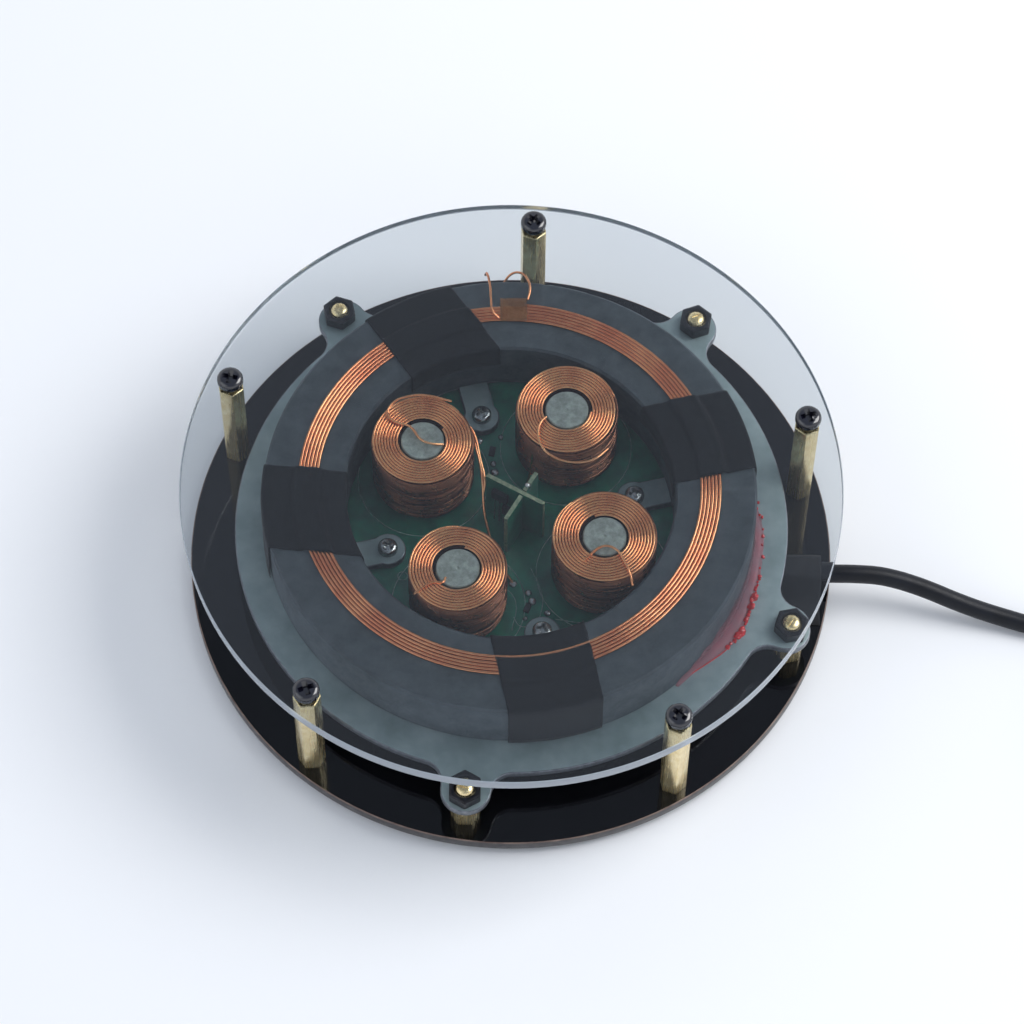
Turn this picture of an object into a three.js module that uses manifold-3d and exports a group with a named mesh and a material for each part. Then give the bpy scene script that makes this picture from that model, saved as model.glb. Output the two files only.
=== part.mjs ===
// Open magnetic levitation base: a smoked acrylic cover on brass standoffs over a black
// acrylic base, with a ring magnet, four steering coils, a flat transmitter coil and their
// circuit board on a steel mounting plate between them. Millimetres, +Z up, origin on the
// table under the centre of the cover.
import * as THREE from "three";
import { mergeVertices } from "three/addons/utils/BufferGeometryUtils.js";
import Module from "manifold-3d";

const wasm = await Module();
wasm.setup();

// Sheet stack, from the table up
const BASE_SCREW_HEAD = 2.2;
const BASE_THICKNESS = 3;
const COVER_STANDOFF_LENGTH = 30;
const COVER_THICKNESS = 3;
const BASE_RADIUS = 74.4;
const COVER_RADIUS = 75;

const BASE_TOP = BASE_SCREW_HEAD + BASE_THICKNESS;
const COVER_BOTTOM = BASE_TOP + COVER_STANDOFF_LENGTH;
const COVER_TOP = COVER_BOTTOM + COVER_THICKNESS;

// Five M3 standoffs carry the cover
const COVER_POST_COUNT = 5;
const COVER_POST_PITCH_RADIUS = 69.6;
const COVER_POST_FIRST_ANGLE = 14.2;
const COVER_POST_FLATS = 5.5;
const COVER_POST_TURNS = [22, 40, 40, 4, 41];
const COVER_SCREW_TURNS = [17, 48, 79, 110, 141];
const M3_SHANK_RADIUS = 1.45;
const M3_HOLE_RADIUS = 1.65;
const M3_HEAD_RADIUS = 3;
const M3_HEAD_HEIGHT = 2.2;
const M3_SHANK_LENGTH = 8;
const M3_BORE_DEPTH = 7;

// Four M4 studs with hexagonal bodies carry the mounting plate
const MODULE_CENTRE = [0.1, 1.6];
const MODULE_AXIS_ANGLE = 14.25;
const STUD_PITCH_RADIUS = 69.2;
const STUD_ANGLES = [37.1, 112.4, -112.4, -37.1].map((side) => MODULE_AXIS_ANGLE + side);
const STUD_TURNS = [8, 50, 0, 15];
const NUT_TURNS = [20, 42, 30, 12];
const BASE_SCREW_TURNS = [25, 65, 105, 145];
const STUD_BODY_FLATS = 6;
const STUD_BODY_HEIGHT = 8;
const STUD_RADIUS = 1.95;
const STUD_HOLE_RADIUS = 2.2;
const STUD_LENGTH = 5.7;
const NUT_FLATS = 7;
const NUT_HEIGHT = 3.2;
const NUT_BORE_RADIUS = 2.15;
const MODULE_SCREW_BORE_DEPTH = 5;
const MODULE_SCREW_SHANK_LENGTH = 7;

// Mounting plate: a ring with four ears for the studs and four inner tabs for the board
const PLATE_THICKNESS = 2;
const PLATE_RADIUS = 63.8;
const PLATE_OPENING_RADIUS = 39;
const EAR_LOBE_RADIUS = 5.7;
const EAR_LOBE_DISTANCE = 68;
const EAR_FILLET_RADIUS = 5;
const TAB_COUNT = 4;
const TAB_SCREW_DISTANCE = 29.3;
const TAB_END_RADIUS = 4.1;
const TAB_HALF_WIDTH = 3.5;
const TAB_HOLE_RADIUS = 1.45;

const PLATE_BOTTOM = BASE_TOP + STUD_BODY_HEIGHT;
const PLATE_TOP = PLATE_BOTTOM + PLATE_THICKNESS;

// Circuit board under the plate, held by four small screws through the tabs
const BOARD_THICKNESS = 1.6;
const BOARD_RADIUS = 46;
const BOARD_SCREW_HEAD_RADIUS = 2.3;
const BOARD_SCREW_HEAD_HEIGHT = 1.9;
const BOARD_SCREW_SHANK_RADIUS = 1.2;
const BOARD_SCREW_SHANK_LENGTH = 5;
const BOARD_SCREW_TURNS = [14, 124, 234, 344];
const BOARD_TOP = PLATE_BOTTOM;
const BOARD_BOTTOM = BOARD_TOP - BOARD_THICKNESS;

// Ring magnet
const MAGNET_OUTER_RADIUS = 56.3;
const MAGNET_INNER_RADIUS = 37.7;
const MAGNET_HEIGHT = 15;
const MAGNET_CHAMFER = 0.5;
const MAGNET_OFFSET = [-0.4, 0.2];
const MAGNET_TOP = PLATE_TOP + MAGNET_HEIGHT;

// Flat transmitter coil on the magnet
const FLAT_COIL_TURNS = 6;
const FLAT_COIL_PITCH = 0.82;
const FLAT_COIL_WIRE = 0.8;
const FLAT_COIL_OUTER_RADIUS = 48.8;
const FLAT_COIL_OFFSET = [-0.8, 1.2];
const FLAT_COIL_INNER_RADIUS = FLAT_COIL_OUTER_RADIUS - FLAT_COIL_TURNS * FLAT_COIL_PITCH;

// Four steering coils, each wound round a steel core that stands on the board
const STEERING_OFFSET = [0.25, 0.35];
const STEERING_RADIUS = 24.15;
const STEERING_FIRST_ANGLE = 59.5;
const CORE_RADIUS = 4.95;
const WINDING_INNER_RADIUS = 5.2;
const WINDING_OUTER_RADII = [11.9, 11.85, 11.3, 12];
const WINDING_BOTTOM = BOARD_TOP + 2.2;
const WINDING_TOP = MAGNET_TOP + 1;
const CORE_TOP = WINDING_TOP - 0.3;

// Cloth tape strips: width along the ring's middle, and the skirts over both walls
const TAPE_THICKNESS = 0.25;
const TAPE_GAP = 0.3;
const TAPE_INNER_SKIRT_BOTTOM = 23.5;
const TAPE_OUTER_SKIRT_BOTTOM = PLATE_TOP + 0.3;
const TAPE_HALF_WIDTH = 10.7;
const TAPE_REACH = 30.6;
const TAPE_HUMP_MARGIN = 1.4;
const TAPE_HUMP_SLOPE = 1;
const TAPE_STRIPS = [
  { centre: [-46.3, -4.0], angle: 174.5 },
  { centre: [-19.0, 43.6], angle: 125 },
  { centre: [43.3, 16.2], angle: 13.5 },
  { centre: [8.2, -43.4], angle: -77.5 },
];

// Upright sensor boards in a cross at the middle
const SENSOR_CENTRE = [0.9, 2.9];
const SENSOR_TURN = -29.6;
const SENSOR_THICKNESS = 1;
const SENSOR_TOP = 28.7;
const SENSOR_GAP = 0.3;
const SENSOR_LONG_LENGTH = 15;
const SENSOR_REAR_LENGTH = 5.4;
const SENSOR_FRONT_LENGTH = 7;
const SENSOR_CROSSING = 2;

// Tape patch that holds the cord down on the base: (Y, rise) of the sheet bent over the cord
const CORD_TAPE_START = 60;
const CORD_TAPE_LENGTH = 11.8;
const CORD_TAPE_LIFT = BASE_TOP + 0.2;
const CORD_TAPE_LINE = [
  [-18.6, 0],
  [-14, 0],
  [-10.6, 7.2],
  [-4.3, 7.2],
  [-3.4, 0.4],
  [-2.2, 0],
];

// Power lead: socket under the board, plug with a tapered relief, cord, in-line connector
const CORD_RADIUS = 2.15;
const CORD_EXIT = [64, -7.4, 9.6];
const PLUG_BACK = 48;
const PLUG_BODY_RADIUS = 3.2;
const PLUG_BODY_LENGTH = 6;
const PLUG_TIP_RADIUS = 2.5;
const SOCKET_SIZE = [9.7, 8, 5.4];
const MEETING_GAP = 0.3;
const COIL_CENTRE = [159.5, -45.2];
const COIL_MIDDLE_RADIUS = 21.5;
const COIL_COLUMNS = 3;
const COIL_LAYERS = 2;
const COIL_LIFT = 0.9;
const CONNECTOR_RADIUS = 5;
const CONNECTOR_LENGTH = 26;
const CONNECTOR_RELIEF_LENGTH = 10;
const CONNECTOR_BORE_RADIUS = 2.75;
const CONNECTOR_BORE_DEPTH = 9;
const TIE_ANGLE = -135;
const TIE_WIDTH = 5;
const TIE_THICKNESS = 0.6;
const LEAD_POINTS = [
  [64.3, -7.4, 9.6],
  [69, -7.4, 9.7],
  [75, -7.5, 9.9],
  [80, -7.5, 9.8],
  [85, -7.6, 9.3],
  [89, -8.1, 8.6],
  [93, -8.9, 7.7],
  [97.5, -10.1, 6.6],
  [102, -11.5, 5.4],
  [106.5, -12.8, 4.3],
  [111, -14.0, 3.4],
  [115.5, -15.1, 2.7],
  [120, -16.3, 2.3],
  [126, -17.5, 2.2],
  [132, -18.5, 2.3],
  [138, -19.1, 2.5],
  [143, -19.3, 2.8],
];
const TAIL_POINTS = [
  [184.9, -60.9, 3.4],
  [184.9, -66, 2.9],
  [184.7, -71, 2.6],
  [184.5, -76, 2.6],
  [184.4, -81, 3.2],
];

// Facets round the sheets and magnet, the bores, studs, screws, plug, cores, windings and coil
const ROUND_STEPS = 72;
const BORE_STEPS = 12;
const STUD_STEPS = 16;
const PLUG_STEPS = 20;
const CORE_STEPS = 24;
const WINDING_STEPS = 32;
const COIL_STEPS = 40;
const CORD_SIDES = 10;
const CORD_STEP_LENGTH = CORD_RADIUS * 4;
const WINDING_CHAMFER = 0.3;

const group = new THREE.Group();

const finishes = {
  clear_cover: finish(0x9aa2a6, 0.08, 0),
  black_acrylic: finish(0x0b0b0d, 0.08, 0),
  brass: finish(0xc9ad6a, 0.3, 1),
  black_steel: finish(0x15161a, 0.3, 1),
  zinc_plate: finish(0x8f9ba0, 0.45, 0.6),
  ferrite: finish(0x2b2f35, 0.75, 0),
  copper: finish(0xb86b42, 0.3, 1),
  core_steel: finish(0x8d9391, 0.5, 0.8),
  bright_steel: finish(0xb9bcbe, 0.3, 1),
  board: finish(0x0f4a38, 0.5, 0),
  cloth_tape: finish(0x16181d, 0.85, 0),
  white_nylon: finish(0xd9d7cc, 0.5, 0),
  black_rubber: finish(0x121317, 0.6, 0),
};

function finish(color, roughness, metalness) {
  return new THREE.MeshStandardMaterial({ color, roughness, metalness });
}

function place(name, geometry, finishName, [x, y] = [0, 0], z = 0, turn = 0) {
  const mesh = new THREE.Mesh(geometry, finishes[finishName]);
  mesh.name = name;
  mesh.position.set(x, y, z);
  mesh.rotation.z = THREE.MathUtils.degToRad(turn);
  group.add(mesh);
}

function polar([x, y], radius, degrees) {
  const angle = THREE.MathUtils.degToRad(degrees);
  return [x + radius * Math.cos(angle), y + radius * Math.sin(angle)];
}

function offset([x, y], [dx, dy]) {
  return [x + dx, y + dy];
}

// Booleans on closed geometries
function solid(geometry) {
  const bare = geometry.clone();
  bare.deleteAttribute("normal");
  bare.deleteAttribute("uv");
  const merged = mergeVertices(bare, 1e-4);
  return new wasm.Manifold(
    new wasm.Mesh({
      numProp: 3,
      vertProperties: new Float32Array(merged.attributes.position.array),
      triVerts: new Uint32Array(merged.index.array),
    }),
  );
}

function geometryOf(manifold) {
  const mesh = manifold.getMesh();
  const geometry = new THREE.BufferGeometry();
  geometry.setAttribute("position", new THREE.BufferAttribute(mesh.vertProperties, 3));
  geometry.setIndex(new THREE.BufferAttribute(mesh.triVerts, 1));
  geometry.computeVertexNormals();
  return geometry;
}

function cut(blank, ...tools) {
  return geometryOf(tools.reduce((rest, tool) => rest.subtract(solid(tool)), solid(blank)));
}

// Upright cylinder or prism between two heights
function post(radius, bottom, top, steps = BORE_STEPS, [x, y] = [0, 0]) {
  const geometry = new THREE.CylinderGeometry(radius, radius, top - bottom, steps);
  return geometry.rotateX(Math.PI / 2).translate(x, y, (bottom + top) / 2);
}

function hexagon(flats, bottom, top) {
  return post(flats / Math.sqrt(3), bottom, top, 6).rotateZ(Math.PI / 6);
}

// Body of revolution about Z from (radius, height) pairs
function turned(profile, steps) {
  const points = profile.map(([radius, height]) => new THREE.Vector2(radius, height));
  return new THREE.LatheGeometry(points, steps).rotateX(Math.PI / 2);
}

function ring(inner, outer, bottom, top, steps, chamfer = 0) {
  if (chamfer === 0) {
    return turned([[inner, bottom], [outer, bottom], [outer, top], [inner, top], [inner, bottom]], steps);
  }
  return turned(
    [
      [inner + chamfer, bottom],
      [outer - chamfer, bottom],
      [outer, bottom + chamfer],
      [outer, top - chamfer],
      [outer - chamfer, top],
      [inner + chamfer, top],
      [inner, top - chamfer],
      [inner, bottom + chamfer],
      [inner + chamfer, bottom],
    ],
    steps,
  );
}

// Pan-head screw with its seat at z = 0, head above and shank below, and a cross recess
function panHeadScrew(headRadius, headHeight, shankRadius, shankLength) {
  const body = turned(
    [
      [0, -shankLength],
      [shankRadius, -shankLength],
      [shankRadius, 0],
      [headRadius, 0],
      [headRadius, headHeight * 0.5],
      [headRadius * 0.86, headHeight * 0.88],
      [headRadius * 0.6, headHeight],
      [0, headHeight],
    ],
    STUD_STEPS,
  );
  const armLength = headRadius * 1.1;
  const armWidth = headRadius * 0.27;
  const depth = headHeight * 0.5;
  const arm = new THREE.BoxGeometry(armLength, armWidth, depth * 2).translate(0, 0, headHeight);
  return cut(body, arm, arm.clone().rotateZ(Math.PI / 2));
}

function sheet(shape, thickness, curveSegments) {
  return new THREE.ExtrudeGeometry(shape, { depth: thickness, bevelEnabled: false, curveSegments });
}

const coverPostPlaces = Array.from({ length: COVER_POST_COUNT }, (_, index) =>
  polar([0, 0], COVER_POST_PITCH_RADIUS, COVER_POST_FIRST_ANGLE + (index * 360) / COVER_POST_COUNT),
);
const studPlaces = STUD_ANGLES.map((angle) => polar(MODULE_CENTRE, STUD_PITCH_RADIUS, angle));
const tabAngles = Array.from({ length: TAB_COUNT }, (_, index) => MODULE_AXIS_ANGLE + index * 90);

// Acrylic discs
function disc(radius, thickness, holePlaces) {
  const blank = post(radius, 0, thickness, ROUND_STEPS);
  const holes = holePlaces.map((spot) => post(M3_HOLE_RADIUS, -1, thickness + 1, BORE_STEPS, spot));
  return cut(blank, ...holes);
}

function addSheets() {
  const base = disc(BASE_RADIUS, BASE_THICKNESS, [...coverPostPlaces, ...studPlaces]);
  const cover = disc(COVER_RADIUS, COVER_THICKNESS, coverPostPlaces);
  place("base_plate", base, "black_acrylic", [0, 0], BASE_SCREW_HEAD);
  place("cover_plate", cover, "clear_cover", [0, 0], COVER_BOTTOM);
}

// Standoffs and screws that hold the cover
function addCoverPosts() {
  const body = hexagon(COVER_POST_FLATS, 0, COVER_STANDOFF_LENGTH);
  const lowerBore = post(M3_HOLE_RADIUS, -1, M3_BORE_DEPTH);
  const upperBore = post(M3_HOLE_RADIUS, COVER_STANDOFF_LENGTH - M3_BORE_DEPTH, COVER_STANDOFF_LENGTH + 1);
  const standoff = cut(body, lowerBore, upperBore);
  const screw = panHeadScrew(M3_HEAD_RADIUS, M3_HEAD_HEIGHT, M3_SHANK_RADIUS, M3_SHANK_LENGTH);
  const upturned = screw.clone().rotateX(Math.PI);
  coverPostPlaces.forEach((spot, index) => {
    const number = index + 1;
    const turn = COVER_SCREW_TURNS[index];
    place(`cover_standoff_${number}`, standoff, "brass", spot, BASE_TOP, COVER_POST_TURNS[index]);
    place(`cover_screw_${number}`, screw, "black_steel", spot, COVER_TOP, turn);
    place(`base_screw_${number}`, upturned, "black_steel", spot, BASE_SCREW_HEAD, turn);
  });
}

// Studs, nuts and base screws that hold the mounting plate
function addPlatePosts() {
  const body = hexagon(STUD_BODY_FLATS, 0, STUD_BODY_HEIGHT);
  const stud = post(STUD_RADIUS, STUD_BODY_HEIGHT - 1, STUD_BODY_HEIGHT + STUD_LENGTH, STUD_STEPS);
  const bore = post(M3_HOLE_RADIUS, -1, MODULE_SCREW_BORE_DEPTH);
  const standoff = geometryOf(solid(body).add(solid(stud)).subtract(solid(bore)));
  const nut = cut(hexagon(NUT_FLATS, 0, NUT_HEIGHT), post(NUT_BORE_RADIUS, -1, NUT_HEIGHT + 1, STUD_STEPS));
  const screw = panHeadScrew(M3_HEAD_RADIUS, M3_HEAD_HEIGHT, M3_SHANK_RADIUS, MODULE_SCREW_SHANK_LENGTH);
  screw.rotateX(Math.PI);
  studPlaces.forEach((spot, index) => {
    const number = index + 1;
    place(`plate_standoff_${number}`, standoff, "brass", spot, BASE_TOP, STUD_TURNS[index]);
    place(`plate_nut_${number}`, nut, "black_steel", spot, PLATE_TOP, NUT_TURNS[index]);
    const turn = BASE_SCREW_TURNS[index];
    place(`plate_base_screw_${number}`, screw, "black_steel", spot, BASE_SCREW_HEAD, turn);
  });
}

// One ear of the plate, pointing along `angle`, added to the outline
function addEar(shape, angle) {
  const turn = THREE.MathUtils.degToRad(angle);
  const toFillet = PLATE_RADIUS + EAR_FILLET_RADIUS;
  const lobeToFillet = EAR_LOBE_RADIUS + EAR_FILLET_RADIUS;
  const swing = Math.acos(
    (toFillet ** 2 + EAR_LOBE_DISTANCE ** 2 - lobeToFillet ** 2) / (2 * toFillet * EAR_LOBE_DISTANCE),
  );
  const lobe = [EAR_LOBE_DISTANCE * Math.cos(turn), EAR_LOBE_DISTANCE * Math.sin(turn)];
  const fillets = [turn - swing, turn + swing].map((a) => [toFillet * Math.cos(a), toFillet * Math.sin(a)]);
  const facing = fillets.map(([x, y]) => Math.atan2(lobe[1] - y, lobe[0] - x));
  const leaving = facing.map((a) => a + Math.PI);
  shape.absarc(...fillets[0], EAR_FILLET_RADIUS, turn - swing + Math.PI, facing[0], true);
  shape.absarc(...lobe, EAR_LOBE_RADIUS, leaving[0], leaving[1], false);
  shape.absarc(...fillets[1], EAR_FILLET_RADIUS, facing[1], turn + swing + Math.PI, true);
  return swing;
}

// Opening of the plate with its inward tabs
function plateOpening() {
  const opening = new THREE.Path();
  const sideAngle = Math.asin(TAB_HALF_WIDTH / PLATE_OPENING_RADIUS);
  const endAngle = Math.asin(TAB_HALF_WIDTH / TAB_END_RADIUS);
  tabAngles.forEach((degrees, index) => {
    const turn = THREE.MathUtils.degToRad(degrees);
    const next = THREE.MathUtils.degToRad(tabAngles[(index + 1) % TAB_COUNT]);
    const end = [TAB_SCREW_DISTANCE * Math.cos(turn), TAB_SCREW_DISTANCE * Math.sin(turn)];
    opening.absarc(...end, TAB_END_RADIUS, turn - endAngle, turn + endAngle, true);
    opening.absarc(0, 0, PLATE_OPENING_RADIUS, turn + sideAngle, next - sideAngle, false);
  });
  opening.closePath();
  return opening;
}

function addMountingPlate() {
  const outline = new THREE.Shape();
  const sorted = [...STUD_ANGLES].sort((a, b) => a - b);
  sorted.forEach((angle, index) => {
    const swing = addEar(outline, angle);
    const from = THREE.MathUtils.degToRad(angle) + swing;
    const nextAngle = index + 1 < sorted.length ? sorted[index + 1] : sorted[0] + 360;
    outline.absarc(0, 0, PLATE_RADIUS, from, THREE.MathUtils.degToRad(nextAngle) - swing, false);
  });
  outline.holes.push(plateOpening());
  const blank = sheet(outline, PLATE_THICKNESS, 14);
  const studHoles = STUD_ANGLES.map((angle) =>
    post(STUD_HOLE_RADIUS, -1, PLATE_THICKNESS + 1, STUD_STEPS, polar([0, 0], STUD_PITCH_RADIUS, angle)),
  );
  const tabHoles = tabAngles.map((angle) =>
    post(TAB_HOLE_RADIUS, -1, PLATE_THICKNESS + 1, BORE_STEPS, polar([0, 0], TAB_SCREW_DISTANCE, angle)),
  );
  place("mounting_plate", cut(blank, ...studHoles, ...tabHoles), "zinc_plate", MODULE_CENTRE, PLATE_BOTTOM);
}

function addBoard() {
  const holes = tabAngles.map((angle) =>
    post(TAB_HOLE_RADIUS, -1, BOARD_THICKNESS + 1, BORE_STEPS, polar([0, 0], TAB_SCREW_DISTANCE, angle)),
  );
  const board = cut(post(BOARD_RADIUS, 0, BOARD_THICKNESS, ROUND_STEPS), ...holes);
  place("circuit_board", board, "board", MODULE_CENTRE, BOARD_BOTTOM);
  const screw = panHeadScrew(
    BOARD_SCREW_HEAD_RADIUS,
    BOARD_SCREW_HEAD_HEIGHT,
    BOARD_SCREW_SHANK_RADIUS,
    BOARD_SCREW_SHANK_LENGTH,
  );
  tabAngles.forEach((angle, index) => {
    const spot = polar(MODULE_CENTRE, TAB_SCREW_DISTANCE, angle);
    place(`board_screw_${index + 1}`, screw, "bright_steel", spot, PLATE_TOP, BOARD_SCREW_TURNS[index]);
  });
}

function addMagnet() {
  const magnet = ring(
    MAGNET_INNER_RADIUS, MAGNET_OUTER_RADIUS, 0, MAGNET_HEIGHT, ROUND_STEPS, MAGNET_CHAMFER,
  );
  place("ring_magnet", magnet, "ferrite", offset(MODULE_CENTRE, MAGNET_OFFSET), PLATE_TOP);
}

function addFlatCoil() {
  const coil = ring(FLAT_COIL_INNER_RADIUS, FLAT_COIL_OUTER_RADIUS, 0, FLAT_COIL_WIRE, ROUND_STEPS);
  place("transmitter_coil", coil, "copper", offset(MODULE_CENTRE, FLAT_COIL_OFFSET), MAGNET_TOP);
}

function addSteeringCoils() {
  const middle = offset(MODULE_CENTRE, STEERING_OFFSET);
  WINDING_OUTER_RADII.forEach((outer, index) => {
    const number = index + 1;
    const spot = polar(middle, STEERING_RADIUS, STEERING_FIRST_ANGLE + index * 90);
    place(`coil_core_${number}`, post(CORE_RADIUS, BOARD_TOP, CORE_TOP, CORE_STEPS), "core_steel", spot);
    const winding = ring(
      WINDING_INNER_RADIUS, outer, WINDING_BOTTOM, WINDING_TOP, WINDING_STEPS, WINDING_CHAMFER,
    );
    place(`coil_winding_${number}`, winding, "copper", spot);
  });
}

// Section of the tape over the ring: up the bore, over the flat coil, down the outer wall
function tapeSection() {
  const inner = MAGNET_INNER_RADIUS - TAPE_GAP;
  const outer = MAGNET_OUTER_RADIUS + TAPE_GAP;
  const low = MAGNET_TOP + TAPE_GAP / 3;
  const high = MAGNET_TOP + FLAT_COIL_WIRE + TAPE_GAP / 3;
  const humpInner = FLAT_COIL_INNER_RADIUS - TAPE_HUMP_MARGIN;
  const humpOuter = FLAT_COIL_OUTER_RADIUS + TAPE_HUMP_MARGIN;
  const t = TAPE_THICKNESS;
  return [
    [inner - t, TAPE_INNER_SKIRT_BOTTOM],
    [inner, TAPE_INNER_SKIRT_BOTTOM],
    [inner, low],
    [humpInner - TAPE_HUMP_SLOPE, low],
    [humpInner, high],
    [humpOuter, high],
    [humpOuter + TAPE_HUMP_SLOPE, low],
    [outer, low],
    [outer, TAPE_OUTER_SKIRT_BOTTOM],
    [outer + t, TAPE_OUTER_SKIRT_BOTTOM],
    [outer + t, low + t],
    [humpOuter + TAPE_HUMP_SLOPE, low + t],
    [humpOuter, high + t],
    [humpInner, high + t],
    [humpInner - TAPE_HUMP_SLOPE, low + t],
    [inner - t, low + t],
    [inner - t, TAPE_INNER_SKIRT_BOTTOM],
  ];
}

function addTapeStrips() {
  const middle = offset(MODULE_CENTRE, MAGNET_OFFSET);
  const wrap = solid(turned(tapeSection(), ROUND_STEPS).translate(...middle, 0));
  TAPE_STRIPS.forEach(({ centre, angle }, index) => {
    const outline = new THREE.BoxGeometry(TAPE_REACH, TAPE_HALF_WIDTH * 2, MAGNET_TOP * 2);
    outline.rotateZ(THREE.MathUtils.degToRad(angle)).translate(...centre, MAGNET_TOP);
    place(`tape_strip_${index + 1}`, geometryOf(wrap.intersect(solid(outline))), "cloth_tape");
  });
}

// Foot, slope, top over the cord, slope, foot; the underside is the same line, one thickness down
function addCordTape() {
  const line = CORD_TAPE_LINE.map(([side, rise]) => [side, CORD_TAPE_LIFT + rise]);
  const lower = line.map(([side, height]) => new THREE.Vector2(side, height));
  const upper = line.map(([side, height]) => new THREE.Vector2(side, height + TAPE_THICKNESS));
  const bent = sheet(new THREE.Shape([...lower, ...upper.reverse()]), CORD_TAPE_LENGTH, 1);
  bent.rotateX(Math.PI / 2).rotateZ(Math.PI / 2).translate(CORD_TAPE_START, 0, 0);
  place("cord_tape", bent, "cloth_tape");
}

function uprightBoard(length, along, across) {
  const height = SENSOR_TOP - BOARD_TOP;
  const panel = new THREE.BoxGeometry(length, SENSOR_THICKNESS, height);
  return panel.translate(along, across, BOARD_TOP + height / 2);
}

function addSensorBoards() {
  const clear = SENSOR_THICKNESS / 2 + SENSOR_GAP;
  const long = uprightBoard(SENSOR_LONG_LENGTH, 0, 0);
  const rear = uprightBoard(SENSOR_REAR_LENGTH, clear + SENSOR_REAR_LENGTH / 2, -SENSOR_CROSSING);
  const front = uprightBoard(SENSOR_FRONT_LENGTH, -clear - SENSOR_FRONT_LENGTH / 2, -SENSOR_CROSSING);
  place("sensor_board_long", long, "board", SENSOR_CENTRE, 0, SENSOR_TURN);
  place("sensor_board_rear", rear, "board", SENSOR_CENTRE, 0, SENSOR_TURN + 90);
  place("sensor_board_front", front, "board", SENSOR_CENTRE, 0, SENSOR_TURN + 90);
}

// Socket on the board's underside and the moulded plug in it
function addPowerInlet() {
  const [length, width, height] = SOCKET_SIZE;
  const [, exitY, exitZ] = CORD_EXIT;
  const socket = new THREE.BoxGeometry(length, width, height);
  socket.translate(PLUG_BACK - MEETING_GAP - length / 2, exitY, BOARD_BOTTOM - height / 2);
  place("power_socket", socket, "white_nylon");
  const reliefLength = CORD_EXIT[0] - PLUG_BACK;
  const plug = turned(
    [
      [0, 0],
      [PLUG_BODY_RADIUS, 0],
      [PLUG_BODY_RADIUS, PLUG_BODY_LENGTH],
      [PLUG_BODY_RADIUS * 0.88, PLUG_BODY_LENGTH + 0.6],
      [PLUG_TIP_RADIUS, reliefLength],
      [0, reliefLength],
    ],
    PLUG_STEPS,
  );
  plug.rotateY(Math.PI / 2).translate(PLUG_BACK, exitY, exitZ);
  place("power_plug", plug, "black_rubber");
}

function cordTube(points) {
  const path = new THREE.CatmullRomCurve3(points.map((point) => new THREE.Vector3(...point)));
  const section = new THREE.Shape();
  for (let side = 0; side < CORD_SIDES; side += 1) {
    const angle = (side / CORD_SIDES) * Math.PI * 2;
    const corner = [CORD_RADIUS * Math.cos(angle), CORD_RADIUS * Math.sin(angle)];
    if (side === 0) section.moveTo(...corner);
    else section.lineTo(...corner);
  }
  const steps = Math.round(path.getLength() / CORD_STEP_LENGTH);
  return new THREE.ExtrudeGeometry(section, { steps, extrudePath: path, bevelEnabled: false });
}

// In-line connector at the far end, lying on the table along -Y
function farConnector() {
  const body = turned(
    [
      [0, 0],
      [CORD_RADIUS * 1.3, 0],
      [CONNECTOR_RADIUS * 0.8, CONNECTOR_RELIEF_LENGTH],
      [CONNECTOR_RADIUS, CONNECTOR_RELIEF_LENGTH + 1],
      [CONNECTOR_RADIUS, CONNECTOR_LENGTH - 0.8],
      [CONNECTOR_RADIUS - 0.8, CONNECTOR_LENGTH],
      [0, CONNECTOR_LENGTH],
    ],
    PLUG_STEPS,
  );
  const boreBottom = CONNECTOR_LENGTH - CONNECTOR_BORE_DEPTH;
  const bore = post(CONNECTOR_BORE_RADIUS, boreBottom, CONNECTOR_LENGTH + 1, STUD_STEPS);
  return cut(body, bore).rotateX(Math.PI / 2);
}

function addCord() {
  place("cord_lead", cordTube(LEAD_POINTS), "black_rubber");
  const halfWidth = COIL_COLUMNS * CORD_RADIUS;
  const coilTop = COIL_LIFT + COIL_LAYERS * CORD_RADIUS * 2;
  const inner = COIL_MIDDLE_RADIUS - halfWidth;
  const outer = COIL_MIDDLE_RADIUS + halfWidth;
  place("cord_coil", ring(inner, outer, COIL_LIFT, coilTop, COIL_STEPS), "black_rubber", COIL_CENTRE);
  place("cord_tail", cordTube(TAIL_POINTS), "black_rubber");
  const [tailX, tailY] = TAIL_POINTS.at(-1);
  place("cord_connector", farConnector(), "black_rubber", [tailX, tailY - MEETING_GAP], CONNECTOR_RADIUS);
  addCoilTie(halfWidth, coilTop);
}

function addCoilTie(halfWidth, coilTop) {
  const clearance = COIL_LIFT - TIE_THICKNESS;
  const tieHeight = coilTop + clearance + TIE_THICKNESS;
  const outside = new THREE.BoxGeometry((halfWidth + clearance + TIE_THICKNESS) * 2, TIE_WIDTH, tieHeight);
  const insideHeight = tieHeight - TIE_THICKNESS * 2;
  const inside = new THREE.BoxGeometry((halfWidth + clearance) * 2, TIE_WIDTH * 2, insideHeight);
  const tie = cut(outside, inside).translate(0, 0, tieHeight / 2);
  place("cord_tie", tie, "cloth_tape", polar(COIL_CENTRE, COIL_MIDDLE_RADIUS, TIE_ANGLE), 0, TIE_ANGLE);
}

addSheets();
addCoverPosts();
addPlatePosts();
addMountingPlate();
addBoard();
addMagnet();
addFlatCoil();
addSteeringCoils();
addTapeStrips();
addCordTape();
addSensorBoards();
addPowerInlet();
addCord();

export default group;
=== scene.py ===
"""Looks of the open magnetic levitation base, built round its CAD frame.

Sizes named here are in millimetres and are turned into metres where a piece is made.
"""

import math
import random

import bmesh
import bpy
from mathutils import Matrix, Vector, noise


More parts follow.
